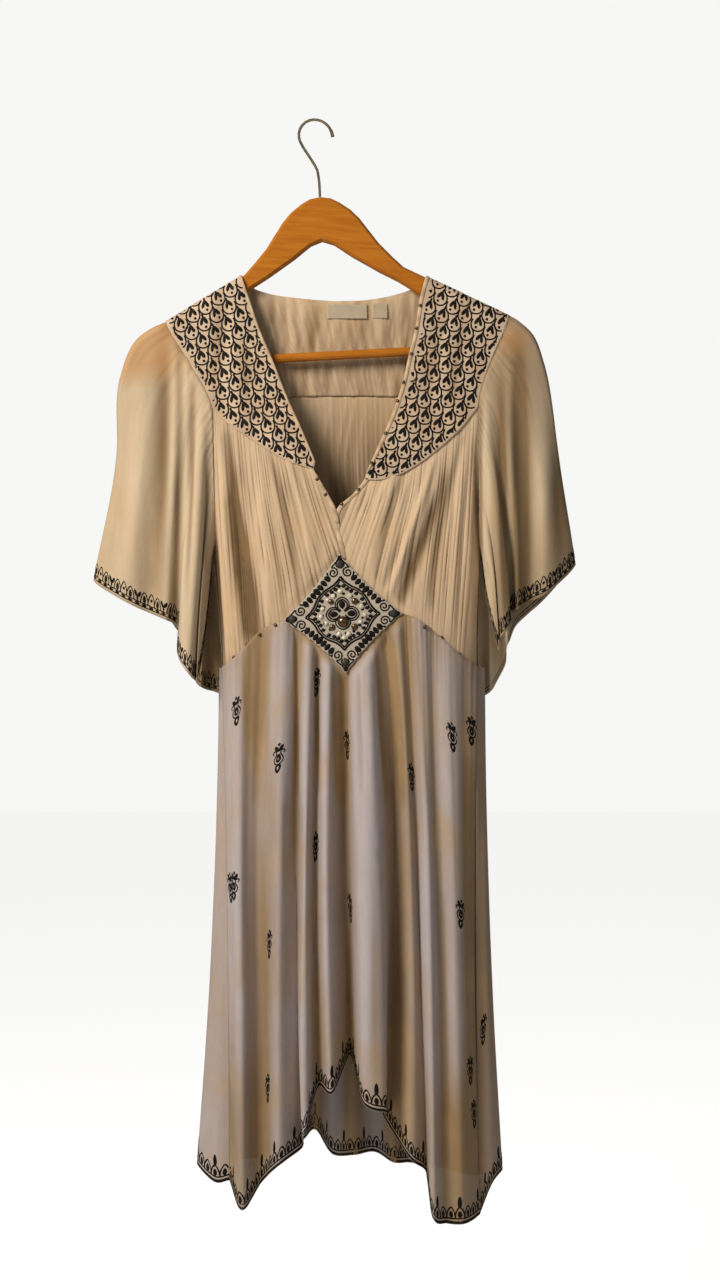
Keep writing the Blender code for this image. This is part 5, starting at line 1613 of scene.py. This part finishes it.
def satin(name, colour):
    """Ribbed satin with a soft change of tone."""
    material, tree, shader = fresh(name)
    place = node(tree, "ShaderNodeTexCoord").outputs["Object"]
    values = {"Vector": place, "Scale": 260.0, "Distortion": 0.4}
    wave = node(tree, "ShaderNodeTexWave", values, wave_type="BANDS", bands_direction="Z")
    ribs, cloud = wave.outputs["Fac"], noise(tree, place, 90.0, 3.0)
    dull = tuple(c * 0.72 for c in colour)
    fill(shader, {
        "Base Color": mixed(tree, (*dull, 1), (*colour, 1), cloud), "Roughness": 0.6,
        "Specular IOR Level": 0.25, "Normal": bumped(tree, ribs, 0.3, 0.0002),
    })
    return material


label_satin = satin("label_satin", (0.50, 0.405, 0.275))
for name, (left, right, top, bottom) in LABELS.items():
    x, z = np.meshgrid(np.linspace(left, right, 40), np.linspace(top, bottom, 16))
    wave = 0.25 * np.sin(x / 5.5 + (z - top) / 6)
    label = stand(np.stack([x, z], axis=2), depth(x, z, BACK) - 1.6 + wave, 1)
    panel(name, label, 0.6 + 0 * x, label_satin)
    ends, ups = (left + 1.2, right - 1.2), np.arange(bottom + 1.2, top - 1.2, 2.3)
    seam = [line([(x, up), (x, up + 1.4)], 0.5, 4) for x in ends for up in ups]
    laid(name + "_stitches", [(seam, seen_from_front(label))], pale_thread, 0.25, 0.7)

# %% [markdown]
# ## Sewing
#
# The neck edges are bound with a narrow folded strip, and short stitches run along the seams. Both
# are laid along an edge of the panel that they belong to.

# %% Bound neck edges and stitches
# the strip's section: share of its width, height over the cloth
ROUNDED = [(0.0, -0.6), (0.0, 0.35), (0.25, 0.95), (0.6, 1.0), (0.9, 0.7), (1.0, -0.1)]
TURNS = {  # how a panel's points are turned so that one of its edges is the last row
    "bottom": lambda grid: grid, "first": lambda grid: grid.transpose(1, 0, 2)[::-1],
    "last": lambda grid: grid.transpose(1, 0, 2),
}


def binding(name, grid, width, until=1.0):
    """A narrow rounded strip along a panel's last row."""
    place, length = hemmed(grid, -1), hem_length(grid)
    at = np.linspace(0.4, length * until - 0.4, int(length * until / 2.2))
    flat, rows = 0 * at, []
    for share, lift in ROUNDED:
        rows.append(place(np.stack([at, flat + width * share], axis=1), flat + lift)[0])
    strip = np.array(rows)
    # painted light and shade that come and go along the rolled strip
    painted_shade = 0.8 + 0.25 * np.sin(at / 3.1)[None] * np.cos(at / 7.7)[None] + 0 * strip[..., 0]
    panel(name, strip, painted_shade, bodice_cotton, 0.3, ())


def stitches(length, up, pitch=3.2, width=0.6):
    starts = np.arange(1.0, length - pitch, pitch)
    return [line([(x, up), (x + 0.62 * pitch, up)], width, 3) for x in starts]


for side, until, width, yoke_width in (("left", 0.4, 5.0, 2.6), ("right", 0.62, 5.4, 4.2)):
    binding("binding_bodice_" + side, TURNS["last"](surfaces["front_bodice_" + side]), width, until)
    binding("binding_yoke_" + side, TURNS["first"](surfaces["front_yoke_" + side]), yoke_width)
SEAMS = {
    "front_yoke_left": ("last", 1.6), "front_yoke_right": ("last", 1.6),
    "front_bodice_left": ("bottom", 1.8), "front_bodice_right": ("bottom", 1.8),
    "back_yoke": ("bottom", 1.8),
}
for name, (edge, up) in SEAMS.items():
    grid = TURNS[edge](surfaces[name])
    laid("stitches_" + name, [(stitches(hem_length(grid), up), hemmed(grid, -1))], pale_thread, 0.3, 0.8)

# %% [markdown]
# ## The cut of the cloth
#
# Each panel is listed as a sheet, with its size along the cloth when it is laid flat. The gathers are
# part of it, so the skirt is much wider when flat than where it hangs.

SHEETS = {
    "front_yoke_left": (
        "hung", ["hanger_wood"], ["yoke_work_left", "binding_yoke_left", "stitches_front_yoke_left"],
    ),
    "front_yoke_right": (
        "hung", ["hanger_wood"],
        ["yoke_work_right", "binding_yoke_right", "stitches_front_yoke_right", "studs_yoke_right"],
    ),
    "back_yoke": ("hung", ["hanger_wood"], ["stitches_back_yoke"]),
    "front_bodice_left": (
        "gathered", ["front_yoke_left"],
        ["binding_bodice_left", "stitches_front_bodice_left", "studs_bodice_left"],
    ),
    "front_bodice_right": (
        "gathered", ["front_yoke_right"],
        ["binding_bodice_right", "stitches_front_bodice_right", "studs_bodice_right"],
    ),
    "back_bodice": ("gathered", ["back_yoke"], []),
    "skirt_front": (
        "gathered", ["front_bodice_left", "front_bodice_right"],
        ["skirt_front_border", "skirt_front_motifs", "studs_skirt_left", "studs_skirt_right"],
    ),
    "skirt_back": (
        "gathered", ["back_bodice"], ["skirt_back_border", "skirt_back_motifs", "skirt_reverse"],
    ),
    "sleeve_left": (
        "gathered", ["hanger_wood", "front_yoke_left"], ["sleeve_border_left", "sleeve_reverse_left"],
    ),
    "sleeve_right": (
        "gathered", ["hanger_wood", "front_yoke_right"], ["sleeve_border_right", "sleeve_reverse_right"],
    ),
    "waist_medallion": (
        "laid", ["front_bodice_left", "front_bodice_right", "skirt_front"], ["medallion_work"],
    ),
    "neck_label": ("laid", ["back_yoke"], ["neck_label_stitches"]),
    "size_tag": ("laid", ["back_yoke"], ["size_tag_stitches"]),
}
for name, (held, rests_on, others) in SHEETS.items():
    width, length, area = CUTS[name]
    others = [bpy.data.objects[other] for other in others]
print("flat cloth", round(sum(cut[2] for cut in CUTS.values()), 3), "m2")

# %% [markdown]
# ## Camera, light and floor
#
# The camera looks at the front from 2.5 m, as the photo does. Light comes softly from the left and
# above, and the floor is plain and pale.

# %% Camera and lights
scene = bpy.context.scene
scene.view_settings.view_transform = "Standard"
camera = bpy.data.objects.new("camera", bpy.data.cameras.new("camera"))
camera.location = (0.0462, -2.5, -0.545)
camera.rotation_euler = (math.radians(90), 0, 0)
camera.data.lens, camera.data.sensor_width = 66.96, 36
scene.collection.objects.link(camera)
scene.camera = camera

for name, place, size, power, colour in (
    ("key", (-1.15, -1.25, 0.6), 0.7, 46, (1.0, 0.94, 0.86)),
    ("fill", (1.2, -2.4, 0.2), 1.8, 3.5, (0.95, 0.96, 1.0)),
):
    light = bpy.data.objects.new(name, bpy.data.lights.new(name, "AREA"))
    light.data.size, light.data.energy, light.data.color = size, power, colour
    light.location = place
    light.rotation_euler = (Vector((0.04, 0, -0.55)) - Vector(place)).to_track_quat("-Z", "Y").to_euler()
    scene.collection.objects.link(light)

# %% World and floor
world = bpy.data.worlds.new("studio")
scene.world = world
world.use_nodes = True
tree = world.node_tree
soft = tree.nodes["Background"]  # what lights the dress; the camera sees a brighter white
fill(soft, {"Color": (1, 1, 1, 1), "Strength": 0.17})
white = node(tree, "ShaderNodeBackground", {"Color": (0.93, 0.93, 0.92, 1), "Strength": 1.0})
seen = node(tree, "ShaderNodeLightPath").outputs["Is Camera Ray"]
choice = node(tree, "ShaderNodeMixShader", {0: seen, 1: soft.outputs[0], 2: white.outputs[0]})
fill(tree.nodes["World Output"], {"Surface": choice.outputs[0]})

bpy.ops.mesh.primitive_plane_add(size=14, location=(0, 3, -1.45))
floor = bpy.context.object
floor.name = "floor"
pale, tree, shader = fresh("floor")
seen = node(tree, "ShaderNodeLightPath").outputs["Is Camera Ray"]
fill(shader, {
    "Base Color": (0.86, 0.86, 0.85, 1), "Roughness": 0.9, "Emission Color": (1, 1, 0.99, 1),
    "Emission Strength": ramp(tree, seen, (0, 1, 0, 0.75)),
})
floor.data.materials.append(pale)
floor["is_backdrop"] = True

# %% [markdown]
# ## Hand over
#
# The size of all that is shown is printed.

# %% Finish
low, high = (list(corner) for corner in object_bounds())
print("size", [round(b - a, 4) for a, b in zip(low, high)])
